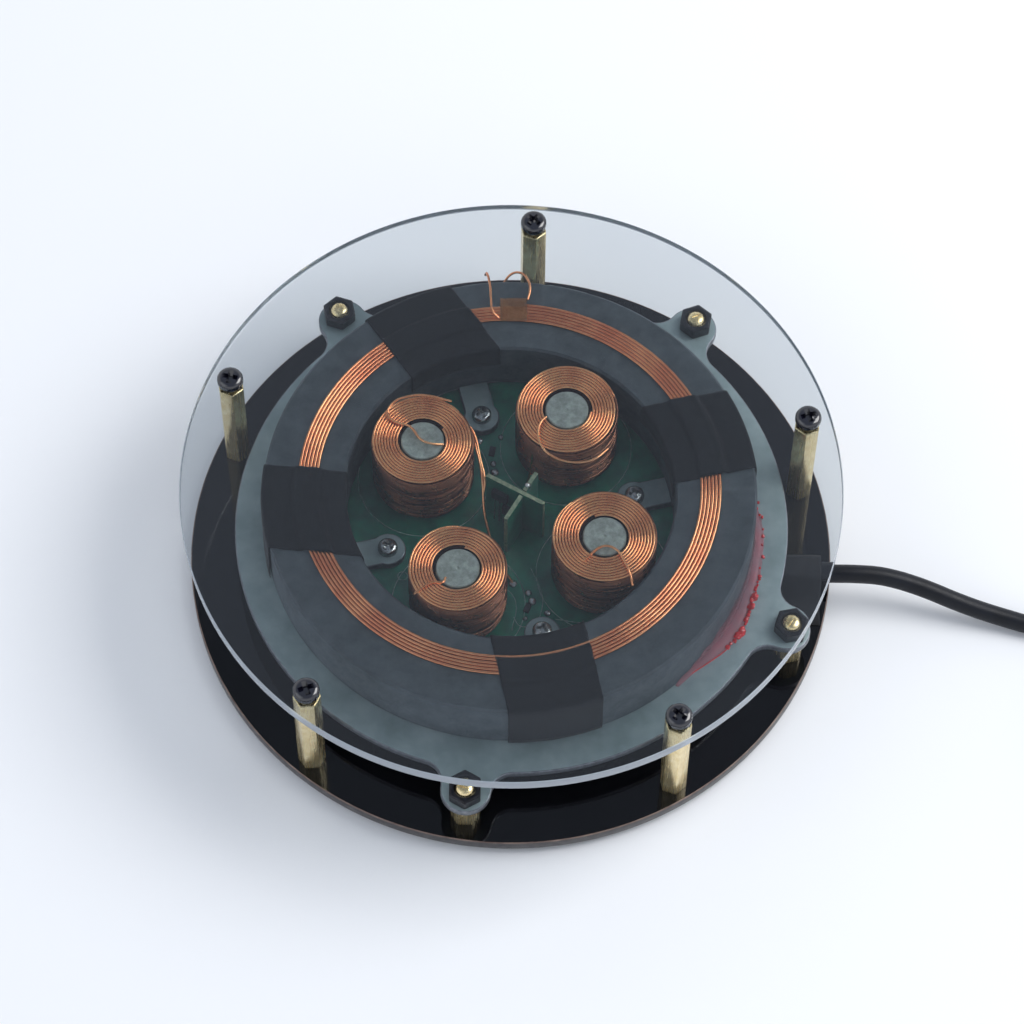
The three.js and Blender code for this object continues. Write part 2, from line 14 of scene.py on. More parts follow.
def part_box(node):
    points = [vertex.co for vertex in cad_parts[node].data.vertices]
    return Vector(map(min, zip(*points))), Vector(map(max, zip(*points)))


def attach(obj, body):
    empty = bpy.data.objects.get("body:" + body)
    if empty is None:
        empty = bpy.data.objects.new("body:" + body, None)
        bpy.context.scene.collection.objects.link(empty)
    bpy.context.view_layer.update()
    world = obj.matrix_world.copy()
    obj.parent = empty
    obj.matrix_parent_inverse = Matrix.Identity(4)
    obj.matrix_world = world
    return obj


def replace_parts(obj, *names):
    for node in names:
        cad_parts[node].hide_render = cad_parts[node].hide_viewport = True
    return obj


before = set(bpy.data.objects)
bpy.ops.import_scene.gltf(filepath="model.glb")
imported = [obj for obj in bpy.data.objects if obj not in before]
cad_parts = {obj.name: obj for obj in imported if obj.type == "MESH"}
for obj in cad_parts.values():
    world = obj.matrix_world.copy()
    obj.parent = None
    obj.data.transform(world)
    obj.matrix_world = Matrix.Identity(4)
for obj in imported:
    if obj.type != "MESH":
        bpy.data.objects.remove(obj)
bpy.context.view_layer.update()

MM = 0.001
TAU = math.tau
random.seed(20)


def centre(node):
    """Middle of a CAD node's box, in millimetres."""
    low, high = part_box(node)
    return [(a + b) / 2 / MM for a, b in zip(low, high)]


def bottom(node):
    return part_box(node)[0][2] / MM


def top(node):
    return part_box(node)[1][2] / MM


def half_width(node):
    low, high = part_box(node)
    return (high[0] - low[0]) / 2 / MM


def polar(middle, radius, degrees):
    angle = math.radians(degrees)
    return middle[0] + radius * math.cos(angle), middle[1] + radius * math.sin(angle)


BASE_BOTTOM = bottom("base_plate")
BASE_TOP = top("base_plate")
COVER_BOTTOM = bottom("cover_plate")
COVER_TOP = top("cover_plate")
PLATE_BOTTOM = bottom("mounting_plate")
PLATE_TOP = top("mounting_plate")
MAGNET_TOP = top("ring_magnet")
BOARD_TOP = top("circuit_board")
BOARD_BOTTOM = bottom("circuit_board")
MAGNET_MIDDLE = centre("ring_magnet")[:2]
BOARD_MIDDLE = centre("circuit_board")[:2]

# Angles and plan sizes shared with the CAD model
MODULE_AXIS_ANGLE = 14.25
STUD_PITCH_RADIUS = 69.2
STUD_ANGLES = [MODULE_AXIS_ANGLE + side for side in (37.1, 112.4, -112.4, -37.1)]
STUD_TURNS = (8, 50, 0, 15)
NUT_TURNS = (20, 42, 30, 12)
COVER_POST_TURNS = (22, 40, 40, 4, 41)
COVER_SCREW_TURNS = (17, 48, 79, 110, 141)
STUD_FOOT_TURNS = (25, 65, 105, 145)
TAB_SCREW_DISTANCE = 29.3
TAB_ANGLES = [MODULE_AXIS_ANGLE + 90 * index for index in range(4)]
SENSOR_CENTRE = (0.9, 2.9)
SENSOR_TURN = -29.6
SENSOR_CROSSING = 2.0
SENSOR_BOARD_THICKNESS = 1.0
SENSOR_LEG_PITCH = 1.27

MAGNET_OUTER_RADIUS = 56.3
MAGNET_INNER_RADIUS = 37.7

# How high the dried glue climbs the magnet's wall
GLUE_HEIGHT = 6.5

# Power lead: the same route as the CAD tubes
CORD_RADIUS = 2.15
LEAD_POINTS = [
    (64.3, -7.4, 9.6),
    (69, -7.4, 9.7),
    (75, -7.5, 9.9),
    (80, -7.5, 9.8),
    (85, -7.6, 9.3),
    (89, -8.1, 8.6),
    (93, -8.9, 7.7),
    (97.5, -10.1, 6.6),
    (102, -11.5, 5.4),
    (106.5, -12.8, 4.3),
    (111, -14.0, 3.4),
    (115.5, -15.1, 2.7),
    (120, -16.3, 2.3),
    (126, -17.5, 2.2),
    (132, -18.5, 2.3),
    (138, -19.1, 2.5),
    (143, -19.3, 2.8),
]
TAIL_POINTS = [
    (184.9, -60.9, 3.4),
    (184.9, -66, 2.9),
    (184.7, -71, 2.6),
    (184.5, -76, 2.6),
    (184.4, -81, 3.2),
]
COIL_CENTRE = (159.5, -45.2)
COIL_COLUMN_RADII = (25.8, 21.5, 17.2)
COIL_LOWER_HEIGHT = 3.05
COIL_UPPER_HEIGHT = 7.35
COIL_POINTS_PER_TURN = 14


# ---- materials


def srgb(red, green, blue):
    """Linear colour from screen levels 0 to 255."""
    channels = [value / 255 for value in (red, green, blue)]
    linear = [c / 12.92 if c <= 0.04045 else ((c + 0.055) / 1.055) ** 2.4 for c in channels]
    return (*linear, 1.0)


def set_inputs(node, values):
    """Values of a node's input sockets, by name, with _ for each space."""
    for key, value in values.items():
        node.inputs[key.replace("_", " ")].default_value = value


class Look:
    """A Principled material; its textures are added by short calls that can be chained."""

    def __init__(self, name, colour, roughness, metallic=0.0, **sockets):
        self.material = bpy.data.materials.new(name)
        self.material.use_nodes = True
        self.material.diffuse_color = colour
        self.tree = self.material.node_tree
        self.shader = self.tree.nodes["Principled BSDF"]
        self.place = self.tree.nodes.new("ShaderNodeTexCoord").outputs["Object"]
        sockets.update(Base_Color=colour, Roughness=roughness, Metallic=metallic)
        set_inputs(self.shader, sockets)
        self.join = self.tree.links.new
        self.normal = None

    def node(self, kind, **values):
        node = self.tree.nodes.new(kind)
        set_inputs(node, values)
        return node

    def spread(self, scale):
        """Place on the piece, scaled for a texture."""
        mapping = self.node("ShaderNodeMapping", Scale=scale)
        self.join(self.place, mapping.inputs["Vector"])
        return mapping.outputs["Vector"]

    def noise(self, per_mm, detail=3.0, stretch=(1, 1, 1)):
        """Noise value, with this many features to a millimetre."""
        spread = self.spread([axis * per_mm / MM for axis in stretch])
        grain = self.node("ShaderNodeTexNoise", Scale=1.0, Detail=detail, Roughness=0.6)
        self.join(spread, grain.inputs["Vector"])
        return grain.outputs["Fac"]

    def weave(self, per_mm, height_mm, axis):
        """Ridges across one axis."""
        spread = self.spread((per_mm / MM,) * 3)
        wave = self.node("ShaderNodeTexWave", Scale=1.0, Distortion=0.6, Detail=1.0)
        wave.bands_direction = axis
        self.join(spread, wave.inputs["Vector"])
        return self.bump(wave.outputs["Fac"], height_mm)

    def tones(self, value, dark, light, margin=0.3):
        """Base colour from dark to light as a value runs from the margin to one less the margin."""
        ramp = self.node("ShaderNodeValToRGB")
        first, last = ramp.color_ramp.elements
        first.position = margin
        first.color = dark
        last.position = 1 - margin
        last.color = light
        self.join(value, ramp.inputs["Fac"])
        self.join(ramp.outputs["Color"], self.shader.inputs["Base Color"])
        return self

    def worn(self, per_mm, low, high, **grain):
        """Roughness that drifts between two levels."""
        value = self.noise(per_mm, **grain)
        spread = self.node("ShaderNodeMapRange", From_Min=0.3, From_Max=0.7, To_Min=low, To_Max=high)
        self.join(value, spread.inputs["Value"])
        self.join(spread.outputs["Result"], self.shader.inputs["Roughness"])
        return self

    def bump(self, value, height_mm):
        bump = self.node("ShaderNodeBump", Strength=1.0, Distance=height_mm * MM)
        self.join(value, bump.inputs["Height"])
        if self.normal is not None:
            self.join(self.normal, bump.inputs["Normal"])
        self.normal = bump.outputs["Normal"]
        self.join(self.normal, self.shader.inputs["Normal"])
        return self

    def relief(self, per_mm, height_mm, **grain):
        """Small uneven bumps."""
        return self.bump(self.noise(per_mm, **grain), height_mm)


def mottled(name, dark, light, roughness, per_mm, metallic=0.0, **sockets):
    """A look whose colour drifts between two tones, given as screen levels."""
    look = Look(name, srgb(*light), roughness, metallic, **sockets)
    return look.tones(look.noise(per_mm), srgb(*dark), srgb(*light))


def copper_look(name, dark, light, roughness=0.2, metallic=1.0):
    look = mottled(name, dark, light, roughness, 0.12, metallic)
    return look.worn(0.4, roughness * 0.8, roughness * 1.2, detail=1).relief(0.5, 0.003, detail=1)


def tape_look():
    look = mottled("black_cloth_tape", (10, 12, 18), (15, 18, 25), 0.8, 0.3, Sheen_Weight=0.05)
    return look.weave(0.35, 0.003, "X").weave(0.35, 0.003, "Y").relief(0.3, 0.05, detail=1)


def glue_look():
    look = Look("red_glue", srgb(214, 24, 32), 0.12, IOR=1.5, Transmission_Weight=0.1, Coat_Weight=0.5)
    look.tones(look.noise(0.9), srgb(196, 20, 26), srgb(240, 52, 56), 0.35)
    return look.relief(1.2, 0.08)


def glue_film_look():
    """Dried glue that thins out up the magnet's wall."""
    look = Look("dried_glue_film", srgb(160, 90, 98), 0.4)
    look.tones(look.noise(0.2), srgb(156, 124, 132), srgb(180, 112, 122))
    parts = look.node("ShaderNodeSeparateXYZ")
    look.join(look.place, parts.inputs["Vector"])
    fade = look.node(
        "ShaderNodeMapRange",
        From_Min=(PLATE_TOP + 0.6) * MM,
        From_Max=(PLATE_TOP + GLUE_HEIGHT) * MM,
        To_Min=0.72,
        To_Max=0.0,
    )
    look.join(parts.outputs["Z"], fade.inputs["Value"])
    look.join(fade.outputs["Result"], look.shader.inputs["Alpha"])
    return look.relief(0.6, 0.03, detail=1)


LOOKS = {
    "cover": Look("smoked_cover_acrylic", (0.74, 0.775, 0.795, 1), 0.015, IOR=1.49, Transmission_Weight=1.0)
    .worn(0.08, 0.0, 0.03),
    "cover_edge": Look("polished_cover_edge", srgb(205, 215, 226), 0.18, IOR=1.49, Transmission_Weight=0.55)
    .relief(0.5, 0.02, stretch=(1, 1, 0.1)),
    "base": mottled("black_base_acrylic", (7, 7, 10), (11, 11, 15), 0.06, 0.05, IOR=1.46)
    .worn(0.05, 0.03, 0.08, detail=2).relief(0.02, 0.02, detail=1),
    "base_edge": mottled("cut_base_edge", (38, 36, 38), (70, 66, 66), 0.35, 0.6, IOR=1.49)
    .relief(1.5, 0.04, stretch=(1, 1, 0.08)),
    # Lighter brown for the upward-facing rim faces: a painted highlight for the rim's glint.
    "base_rim": mottled("base_rim_painted_glint", (84, 66, 60), (132, 112, 102), 0.45, 0.3).relief(2.0, 0.02),
    "brass": mottled("drawn_brass", (226, 200, 142), (250, 234, 190), 0.28, 0.35, 0.85)
    .worn(1.2, 0.16, 0.34, stretch=(1, 1, 0.05)).relief(3.0, 0.015, stretch=(1, 1, 0.02)),
    "black_screw": mottled("black_nickel_screw", (8, 8, 18), (15, 16, 30), 0.12, 0.9, IOR=1.8)
    .worn(1.0, 0.07, 0.16).relief(0.8, 0.006, detail=1),
    "black_nut": mottled("blackened_nut", (18, 18, 22), (44, 44, 50), 0.34, 0.8, 0.5).relief(3.0, 0.02),
    "plate": mottled("zinc_plate", (128, 146, 148), (160, 176, 178), 0.5, 0.12, 0.3)
    .worn(0.5, 0.4, 0.62, detail=6).relief(5.0, 0.012),
    # Plate's edges toned darker than its face: painted shade, for edges that sit in shade.
    "plate_edge": mottled("plate_edge_painted_shade", (96, 100, 106), (134, 138, 146), 0.38, 0.8, 0.6)
    .relief(2.0, 0.02, stretch=(1, 1, 0.1)),
    "ferrite": mottled("ferrite", (68, 76, 82), (88, 97, 104), 0.6, 0.2)
    .worn(1.2, 0.5, 0.75, detail=6).relief(6.0, 0.03, detail=5),
    "copper": copper_look("enamelled_copper", (236, 150, 102), (255, 196, 142)),
    "flat_copper": copper_look("flat_coil_copper", (226, 138, 98), (252, 182, 132)),
    # Darker copy of the winding copper for the side turns: painted shade, for coil sides in shade.
    "side_copper_painted_shade": copper_look("side_copper_painted_shade", (112, 72, 58), (172, 116, 86), 0.3, 0.9),
    # Near-black copy of the copper for the hidden winding body: painted shade between the turns.
    "under_copper_painted_shade": copper_look("inner_copper_painted_shade", (44, 24, 22), (66, 36, 30)),
    "core": mottled("sheared_core_steel", (152, 160, 150), (200, 208, 200), 0.45, 0.6, 0.35)
    .worn(2.5, 0.32, 0.6, detail=8).relief(4.0, 0.03, stretch=(1, 0.25, 1)),
    "tape": tape_look(),
    "board": mottled("green_solder_mask", (8, 92, 74), (18, 138, 108), 0.34, 0.12, Coat_Weight=0.3)
    .relief(0.8, 0.02),
    "board_edge": mottled("cut_fibreglass", (120, 142, 116), (176, 186, 152), 0.6, 0.9).relief(5.0, 0.03),
    "silkscreen": mottled("white_silkscreen", (120, 150, 140), (176, 198, 190), 0.6, 1.5).relief(5.0, 0.01),
    "solder": mottled("solder", (150, 150, 152), (214, 212, 208), 0.22, 1.2, 0.9).relief(2.5, 0.03),
    "bright_screw": mottled("bright_screw_steel", (150, 152, 152), (206, 206, 202), 0.24, 0.9, 0.95)
    .relief(2.5, 0.02),
    "chip": mottled("black_chip", (18, 19, 21), (32, 33, 36), 0.5, 1.5).relief(8.0, 0.02),
    "glue": glue_look(),
    "dark_glue": mottled("dark_glue", (96, 22, 34), (140, 36, 48), 0.35, 0.9).relief(1.2, 0.05),
    "glue_film": glue_film_look(),
    "amber": mottled("amber_tape", (150, 92, 44), (198, 136, 76), 0.18, 0.3, Alpha=0.42).relief(0.8, 0.04),
    "nylon": mottled("white_nylon", (205, 202, 190), (228, 226, 216), 0.42, 0.4).relief(2.0, 0.02),
    "teal": mottled("teal_part", (36, 110, 122), (72, 150, 158), 0.35, 0.6).relief(2.0, 0.02),
    "rubber": mottled("black_cord_pvc", (10, 13, 20), (18, 22, 31), 0.5, 0.15, IOR=1.36)
    .worn(0.8, 0.34, 0.5).relief(3.5, 0.03, detail=4),
}


# ---- mesh helpers


def added(name, data):
    """An object of the scene."""
    item = bpy.data.objects.new(name, data)
    bpy.context.scene.collection.objects.link(item)
    return item


def link(name, data, looks, at=(0, 0, 0), turn=0.0):
    """An object of the part, riding on its one body, placed in millimetres and degrees."""
    piece = added(name, data)
    piece.location = [value * MM for value in at]
    piece.rotation_euler[2] = math.radians(turn)
    if not data.materials:
        for look in looks:
            data.materials.append(LOOKS[look].material)
    bpy.context.view_layer.update()
    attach(piece, "root")
    return piece


def evaluated_mesh(item):
    """The object's mesh as it is after its modifiers."""
    bpy.context.view_layer.update()
    return bpy.data.meshes.new_from_object(item.evaluated_get(bpy.context.evaluated_depsgraph_get()))


def mesh_of(form, name):
    """A mesh from a bmesh, which it uses up."""
    mesh = bpy.data.meshes.new(name)
    form.to_mesh(mesh)
    form.free()
    return mesh


def smoothed(mesh, edge_angle):
    """The mesh shaded smooth, but for its edges that are sharper than this angle."""
    for face in mesh.polygons:
        face.use_smooth = True
    mesh.set_sharp_from_angle(angle=math.radians(edge_angle))
    return mesh


def thicken(piece, thickness, offset):
    """Give a sheet its thickness in millimetres, on its front at offset 1 and its back at -1."""
    skin = piece.modifiers.new("thickness", "SOLIDIFY")
    skin.thickness = thickness * MM
    skin.offset = offset


def mesh_from(name, corners, faces, edge_angle=35):
    """A mesh in metres from corners in millimetres, smooth but for its sharp edges."""
    mesh = bpy.data.meshes.new(name)
    mesh.from_pydata([[value * MM for value in corner] for corner in corners], [], faces)
    mesh.validate()
    smoothed(mesh, edge_angle).update()
    return mesh


def band_faces(rows, count):
    """Faces between closed rings of corners, listed ring by ring."""
    faces = []
    for row in range(rows - 1):
        low, high = row * count, (row + 1) * count
        for index in range(count):
            after = (index + 1) % count
            faces.append([low + index, low + after, high + after, high + index])
    return faces


def sheet_faces(rows, columns):
    """Faces of a sheet whose corners are listed row by row."""
    faces = []
    for row in range(rows - 1):
        for column in range(columns - 1):
            corner = row * columns + column
            faces.append([corner, corner + columns, corner + columns + 1, corner + 1])
    return faces


def lathe(profile, steps=128, closed=False):
    """Corners and faces of a body of revolution about Z from (radius, height) pairs."""
    corners = []
    rows = []
    for radius, height in profile:
        if radius < 1e-6:
            rows.append([len(corners)] * steps)
            corners.append((0, 0, height))
            continue
        rows.append(list(range(len(corners), len(corners) + steps)))
        for step in range(steps):
            angle = TAU * step / steps
            corners.append((radius * math.cos(angle), radius * math.sin(angle), height))
    followers = rows[1:] + ([rows[0]] if closed else [])
    faces = []
    for low, high in zip(rows, followers):
        for step in range(steps):
            after = (step + 1) % steps
            face = list(dict.fromkeys([low[step], low[after], high[after], high[step]]))
            if len(face) > 2:
                faces.append(face)
    return corners, faces


def tube_curve(name, routes, radius, smooth=True, ring=3):
    """Round wires along lists of points in millimetres, all in one curve."""
    curve = bpy.data.curves.new(name, "CURVE")
    curve.dimensions = "3D"
    curve.bevel_depth = radius * MM
    curve.bevel_resolution = ring
    curve.use_fill_caps = True
    curve.resolution_u = 5 if smooth else 1
    for points in routes:
        spline = curve.splines.new("BEZIER" if smooth else "POLY")
        knots = spline.bezier_points if smooth else spline.points
        knots.add(len(points) - 1)
        for knot, point in zip(knots, points):
            spot = [value * MM for value in point]
            if smooth:
                knot.co = spot
                knot.handle_left_type = "AUTO"
                knot.handle_right_type = "AUTO"
            else:
                knot.co = (*spot, 1.0)
        if not smooth:
            spline.use_smooth = True
    return curve


def outline_mesh(name, loops, bottom_z, top_z, bevel, plane_looks=1):
    """A flat sheet with rounded rims from closed outlines; rim faces take the next material."""
    curve = bpy.data.curves.new(name, "CURVE")
    curve.dimensions = "2D"
    curve.fill_mode = "BOTH"
    curve.extrude = ((top_z - bottom_z) / 2 - bevel) * MM
    curve.bevel_depth = bevel * MM
    curve.bevel_resolution = 2
    curve.offset = -bevel * MM
    for loop in loops:
        spline = curve.splines.new("POLY")
        spline.points.add(len(loop) - 1)
        spline.use_cyclic_u = True
        for knot, (x, y) in zip(spline.points, loop):
            knot.co = (x * MM, y * MM, 0, 1)
    shell = added(name, curve)
    filled = evaluated_mesh(shell)
    bpy.data.objects.remove(shell)
    raise_by = (bottom_z + top_z) / 2 * MM
    corners = [(spot.co.x, spot.co.y, spot.co.z + raise_by) for spot in filled.vertices]
    mesh = bpy.data.meshes.new(name)
    mesh.from_pydata(corners, [], [list(face.vertices) for face in filled.polygons])
    bpy.data.meshes.remove(filled)
    weld = bmesh.new()
    weld.from_mesh(mesh)
    bmesh.ops.remove_doubles(weld, verts=weld.verts, dist=1e-6)
    bmesh.ops.dissolve_degenerate(weld, edges=weld.edges, dist=1e-7)
    bmesh.ops.recalc_face_normals(weld, faces=weld.faces)
    weld.normal_update()
    weld.to_mesh(mesh)
    weld.free()
    mesh.set_sharp_from_angle(angle=math.radians(50))
    for face in mesh.polygons:
        flat = abs(face.normal.z) > 0.99
        face.use_smooth = not flat
        face.material_index = 0 if flat else plane_looks
    return mesh


def circle(middle, radius, steps=48):
    return [polar(middle, radius, 360 * step / steps) for step in range(steps)]


def arc(middle, radius, start, end, steps=12):
    """Points of an arc from one angle to another, in degrees."""
    return [polar(middle, radius, start + (end - start) * step / steps) for step in range(steps + 1)]


def box_mesh(name, size, bevel, middle=(0, 0, 0)):
    """A box with rounded edges about its middle."""
    form = bmesh.new()
    bmesh.ops.create_cube(form, size=MM)
    bmesh.ops.scale(form, verts=form.verts, vec=size)
    bmesh.ops.bevel(form, geom=form.edges[:], offset=bevel * MM, segments=2, profile=0.7, affect="EDGES")
    bmesh.ops.translate(form, verts=form.verts, vec=[value * MM for value in middle])
    return smoothed(mesh_of(form, name), 50)


def blob_mesh(name, spots, rough=0.15):
    """Flattened drops at (x, y, z, radius, height) spots, all in one mesh."""
    form = bmesh.new()
    for x, y, z, radius, height in spots:
        made = bmesh.ops.create_icosphere(form, subdivisions=3, radius=1.0)
        for vert in made["verts"]:
            swell = 1 + rough * noise.noise(vert.co * 1.3 + Vector((x, y, z)))
            vert.co = Vector((vert.co.x * radius, vert.co.y * radius, vert.co.z * height)) * swell * MM
            vert.co += Vector((x, y, z)) * MM
    mesh = mesh_of(form, name)
    for face in mesh.polygons:
        face.use_smooth = True
    return mesh


def cut_mesh(mesh, tool_mesh):
    """The mesh with the tool's shape taken out of it."""
    body = added("body", mesh)
    tool = added("tool", tool_mesh)
    cutter = body.modifiers.new("cut", "BOOLEAN")
    cutter.operation = "DIFFERENCE"
    cutter.solver = "EXACT"
    cutter.object = tool
    result = evaluated_mesh(body)
    for item in (body, tool):
        bpy.data.objects.remove(item)
    return smoothed(result, 32)


# ---- camera, lights, stage

WALL_LIGHT = (0.88, 0.91, 0.97, 1)
CEILING_LIGHT = (0.33, 0.37, 0.45, 1)
TABLE_COLOUR = (0.85, 0.865, 0.885, 1)
CAMERA_FOCAL = 138.70
CAMERA_DISTANCE = 891.0
CAMERA_ELEVATION = 60.387
CAMERA_ROLL = 0.551
CAMERA_PAN = -0.0072
CAMERA_TILT = 0.4378


def swung(first, second, degrees):
    """Two perpendicular axes turned towards each other."""
    angle = math.radians(degrees)
    cosine, sine = math.cos(angle), math.sin(angle)
    return first * cosine + second * sine, second * cosine - first * sine


def add_camera():
    rise = math.radians(CAMERA_ELEVATION)
    right = Vector((1, 0, 0))
    up = Vector((0, math.sin(rise), math.cos(rise)))
    forward = Vector((0, math.cos(rise), -math.sin(rise)))
    target = Vector((0, 0, COVER_TOP * MM))
    spot = target - forward * CAMERA_DISTANCE * MM
    right, up = swung(right, up, CAMERA_ROLL)
    right, forward = swung(right, forward, CAMERA_PAN)
    up, forward = swung(up, forward, CAMERA_TILT)
    data = bpy.data.cameras.new("camera")
    data.lens = CAMERA_FOCAL
    data.sensor_width = 36.0
    data.clip_start = 0.05
    data.dof.use_dof = False
    camera = added("camera", data)
    turn = Matrix((right, up, -forward)).transposed().to_4x4()
    camera.matrix_world = Matrix.Translation(spot) @ turn
    bpy.context.scene.camera = camera


def add_area_light(name, spot, size, power, colour):
    data = bpy.data.lights.new(name, "AREA")
    data.shape = "RECTANGLE"
    data.size, data.size_y = size
    data.energy = power
    data.color = colour
    lamp = added(name, data)
    lamp.location = spot
    lamp.rotation_euler = (-Vector(spot)).to_track_quat("-Z", "Y").to_euler()


def add_world():
    """Pale studio walls under a dimmer ceiling, so that the discs mirror a soft grey."""
    world = bpy.data.worlds.new("studio")
    world.use_nodes = True
    tree = world.node_tree
    sky = tree.nodes["Background"]
    direction = tree.nodes.new("ShaderNodeTexCoord")
    parts = tree.nodes.new("ShaderNodeSeparateXYZ")
    tree.links.new(direction.outputs["Generated"], parts.inputs["Vector"])
    ramp = tree.nodes.new("ShaderNodeValToRGB")
    low, high = ramp.color_ramp.elements
    low.position = 0.55
    low.color = WALL_LIGHT
    high.position = 0.8
    high.color = CEILING_LIGHT
    tree.links.new(parts.outputs["Z"], ramp.inputs["Fac"])
    tree.links.new(ramp.outputs["Color"], sky.inputs["Color"])
    sky.inputs["Strength"].default_value = 1.0
    bpy.context.scene.world = world
    bpy.context.scene.view_settings.view_transform = "Standard"


def add_stage():
    half = 3.0
    corners = [(-half, -half, 0), (half, -half, 0), (half, half, 0), (-half, half, 0)]
    mesh = bpy.data.meshes.new("table")
    mesh.from_pydata(corners, [], [(0, 1, 2, 3)])
    table = added("table", mesh)
    mesh.materials.append(Look("pale_table", TABLE_COLOUR, 0.55, Specular_IOR_Level=0.2).material)
    add_area_light("key", (0.82, 0.2, 0.95), (0.8, 0.8), 12.0, (1.0, 0.99, 0.975))
    add_area_light("fill", (-1.1, -0.5, 1.2), (1.2, 1.2), 3.0, (0.92, 0.96, 1.0))


add_camera()


# ---- cord


def coil_points():
    """Three turns in on the table, a step up, three and a quarter turns out on top."""
    columns = len(COIL_COLUMN_RADII)
    turns = 2 * columns + 0.25
    order = list(COIL_COLUMN_RADII) + list(reversed(COIL_COLUMN_RADII))
    points = []
    for step in range(1, int(turns * COIL_POINTS_PER_TURN) + 1):
        done = step / COIL_POINTS_PER_TURN
        turn = min(int(done), 2 * columns - 1)
        shift = max(0.0, min(1.0, (done - turn - 0.8) / 0.2)) if done < 2 * columns - 1 else 0.0
        shift = shift * shift * (3 - 2 * shift)
        following = order[min(turn + 1, 2 * columns - 1)]
        radius = order[turn] + (following - order[turn]) * shift
        if turn < columns - 1:
            height = COIL_LOWER_HEIGHT
        elif turn == columns - 1:
            height = COIL_LOWER_HEIGHT + (COIL_UPPER_HEIGHT - COIL_LOWER_HEIGHT) * shift
        else:
            height = COIL_UPPER_HEIGHT
        points.append((*polar(COIL_CENTRE, radius, 90 - 360 * done), height))
    return points


def add_cord():
    start = (*polar(COIL_CENTRE, COIL_COLUMN_RADII[0], 90), COIL_LOWER_HEIGHT)
    route = LEAD_POINTS + [(151, -19.4, 3.0), start] + coil_points()
    route += [(185.2, -53.5, 5.6)] + TAIL_POINTS
    cord = link("power_cord", tube_curve("power_cord", [route], CORD_RADIUS, ring=5), ["rubber"])
    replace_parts(cord, "cord_lead", "cord_coil", "cord_tail")


add_cord()
add_stage()
add_world()


# ---- sheets and hardware

COVER_HOLE_RADIUS = 1.65
COVER_EDGE_ROUNDING = 0.22
BASE_EDGE_ROUNDING = 0.25
PLATE_EDGE_ROUNDING = 0.25
HEX_ROUNDING = 0.22
POST_CHAMFER = 0.25
COVER_POST_FLATS = 5.5
PLATE_POST_FLATS = 6.0
STUD_RADIUS = 1.95
THREAD_PITCH = 0.7
THREAD_DEPTH = 0.3
NUT_FLATS = 7.0
NUT_HEIGHT = 3.2
NUT_CHAMFER = 0.5
NUT_BORE_RADIUS = 2.08
NUT_RING_RADIUS = 2.6
COVER_POST_SCREW = {"head_radius": 3.0, "head_height": 2.2, "shank_radius": 1.45, "shank_length": 8.0}
BOARD_SCREW = {"head_radius": 2.3, "head_height": 1.9, "shank_radius": 1.2, "shank_length": 5.0}
RECESS_HEAD_RADIUS = 3.0
SCREW_RECESS_ARM = 1.95
SCREW_RECESS_WIDTH = 0.6
SCREW_RECESS_DEPTH = 1.45


def post_places(node_stem, count):
    return [centre(f"{node_stem}_{index + 1}")[:2] for index in range(count)]


def add_discs():
    holes = [circle(spot, COVER_HOLE_RADIUS, 32) for spot in post_places("cover_screw", 5)]
    rim = circle((0, 0), half_width("cover_plate"), 360)
    cover = outline_mesh("cover", [rim] + holes, COVER_BOTTOM, COVER_TOP, COVER_EDGE_ROUNDING)
    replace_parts(link("cover_disc", cover, ["cover", "cover_edge"]), "cover_plate")
    rim = circle((0, 0), half_width("base_plate"), 360)
    base = outline_mesh("base", [rim], BASE_BOTTOM, BASE_TOP, BASE_EDGE_ROUNDING)
    # Upward-facing rim faces take the lighter brown look, a painted highlight.
    for face in base.polygons:
        if face.material_index == 1 and face.normal.z > 0.2:
            face.material_index = 2
    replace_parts(link("base_disc", base, ["base", "base_edge", "base_rim"]), "base_plate")


def hexagonal_prism(name, flats, low, high, chamfer):
    """Hexagonal bar with its corners turned off at both ends."""
    corner = flats / math.sqrt(3)
    slope = chamfer * 0.6
    rows = [(corner - chamfer, low), (corner, low + slope)]
    rows += [(corner, high - slope), (corner - chamfer, high)]
    corners = []
    for radius, height in rows:
        for index in range(6):
            corners.append([value * MM for value in (*polar((0, 0), radius, 60 * index), height)])
    ends = [list(range(5, -1, -1)), list(range(18, 24))]
    mesh = bpy.data.meshes.new(name)
    mesh.from_pydata(corners, [], ends + band_faces(len(rows), 6))
    form = bmesh.new()
    form.from_mesh(mesh)
    bmesh.ops.recalc_face_normals(form, faces=form.faces)
    tall = MM * (high - low) / 3
    upright = [edge for edge in form.edges if abs(edge.verts[0].co.z - edge.verts[1].co.z) > tall]
    bmesh.ops.bevel(form, geom=upright, offset=HEX_ROUNDING * MM, segments=2, profile=0.5, affect="EDGES")
    form.to_mesh(mesh)
    form.free()
    return smoothed(mesh, 24)


def cross_recess(head_radius, head_height):
    """Tapered cross that is cut out of a screw's head."""
    scale = head_radius / RECESS_HEAD_RADIUS
    corners = []
    floor = head_height - SCREW_RECESS_DEPTH * scale
    for shrink, height in ((1.0, head_height + 0.5), (1.0, head_height), (0.34, floor)):
        arm = SCREW_RECESS_ARM * scale * shrink
        width = SCREW_RECESS_WIDTH * scale * (0.55 + 0.45 * shrink)
        for right, up in ((1, 1), (1, -1), (-1, -1), (-1, 1)):
            wing = [(arm * right, width * up), (width * right, width * up), (width * right, arm * up)]
            corners += [(x, y, height) for x, y in (wing if right * up < 0 else reversed(wing))]
    count = 12
    ends = [list(range(count)), list(range(3 * count - 1, 2 * count - 1, -1))]
    tool = mesh_from("recess", corners, ends + band_faces(3, count))
    form = bmesh.new()
    form.from_mesh(tool)
    bmesh.ops.recalc_face_normals(form, faces=form.faces)
    form.to_mesh(tool)
    form.free()
    return tool


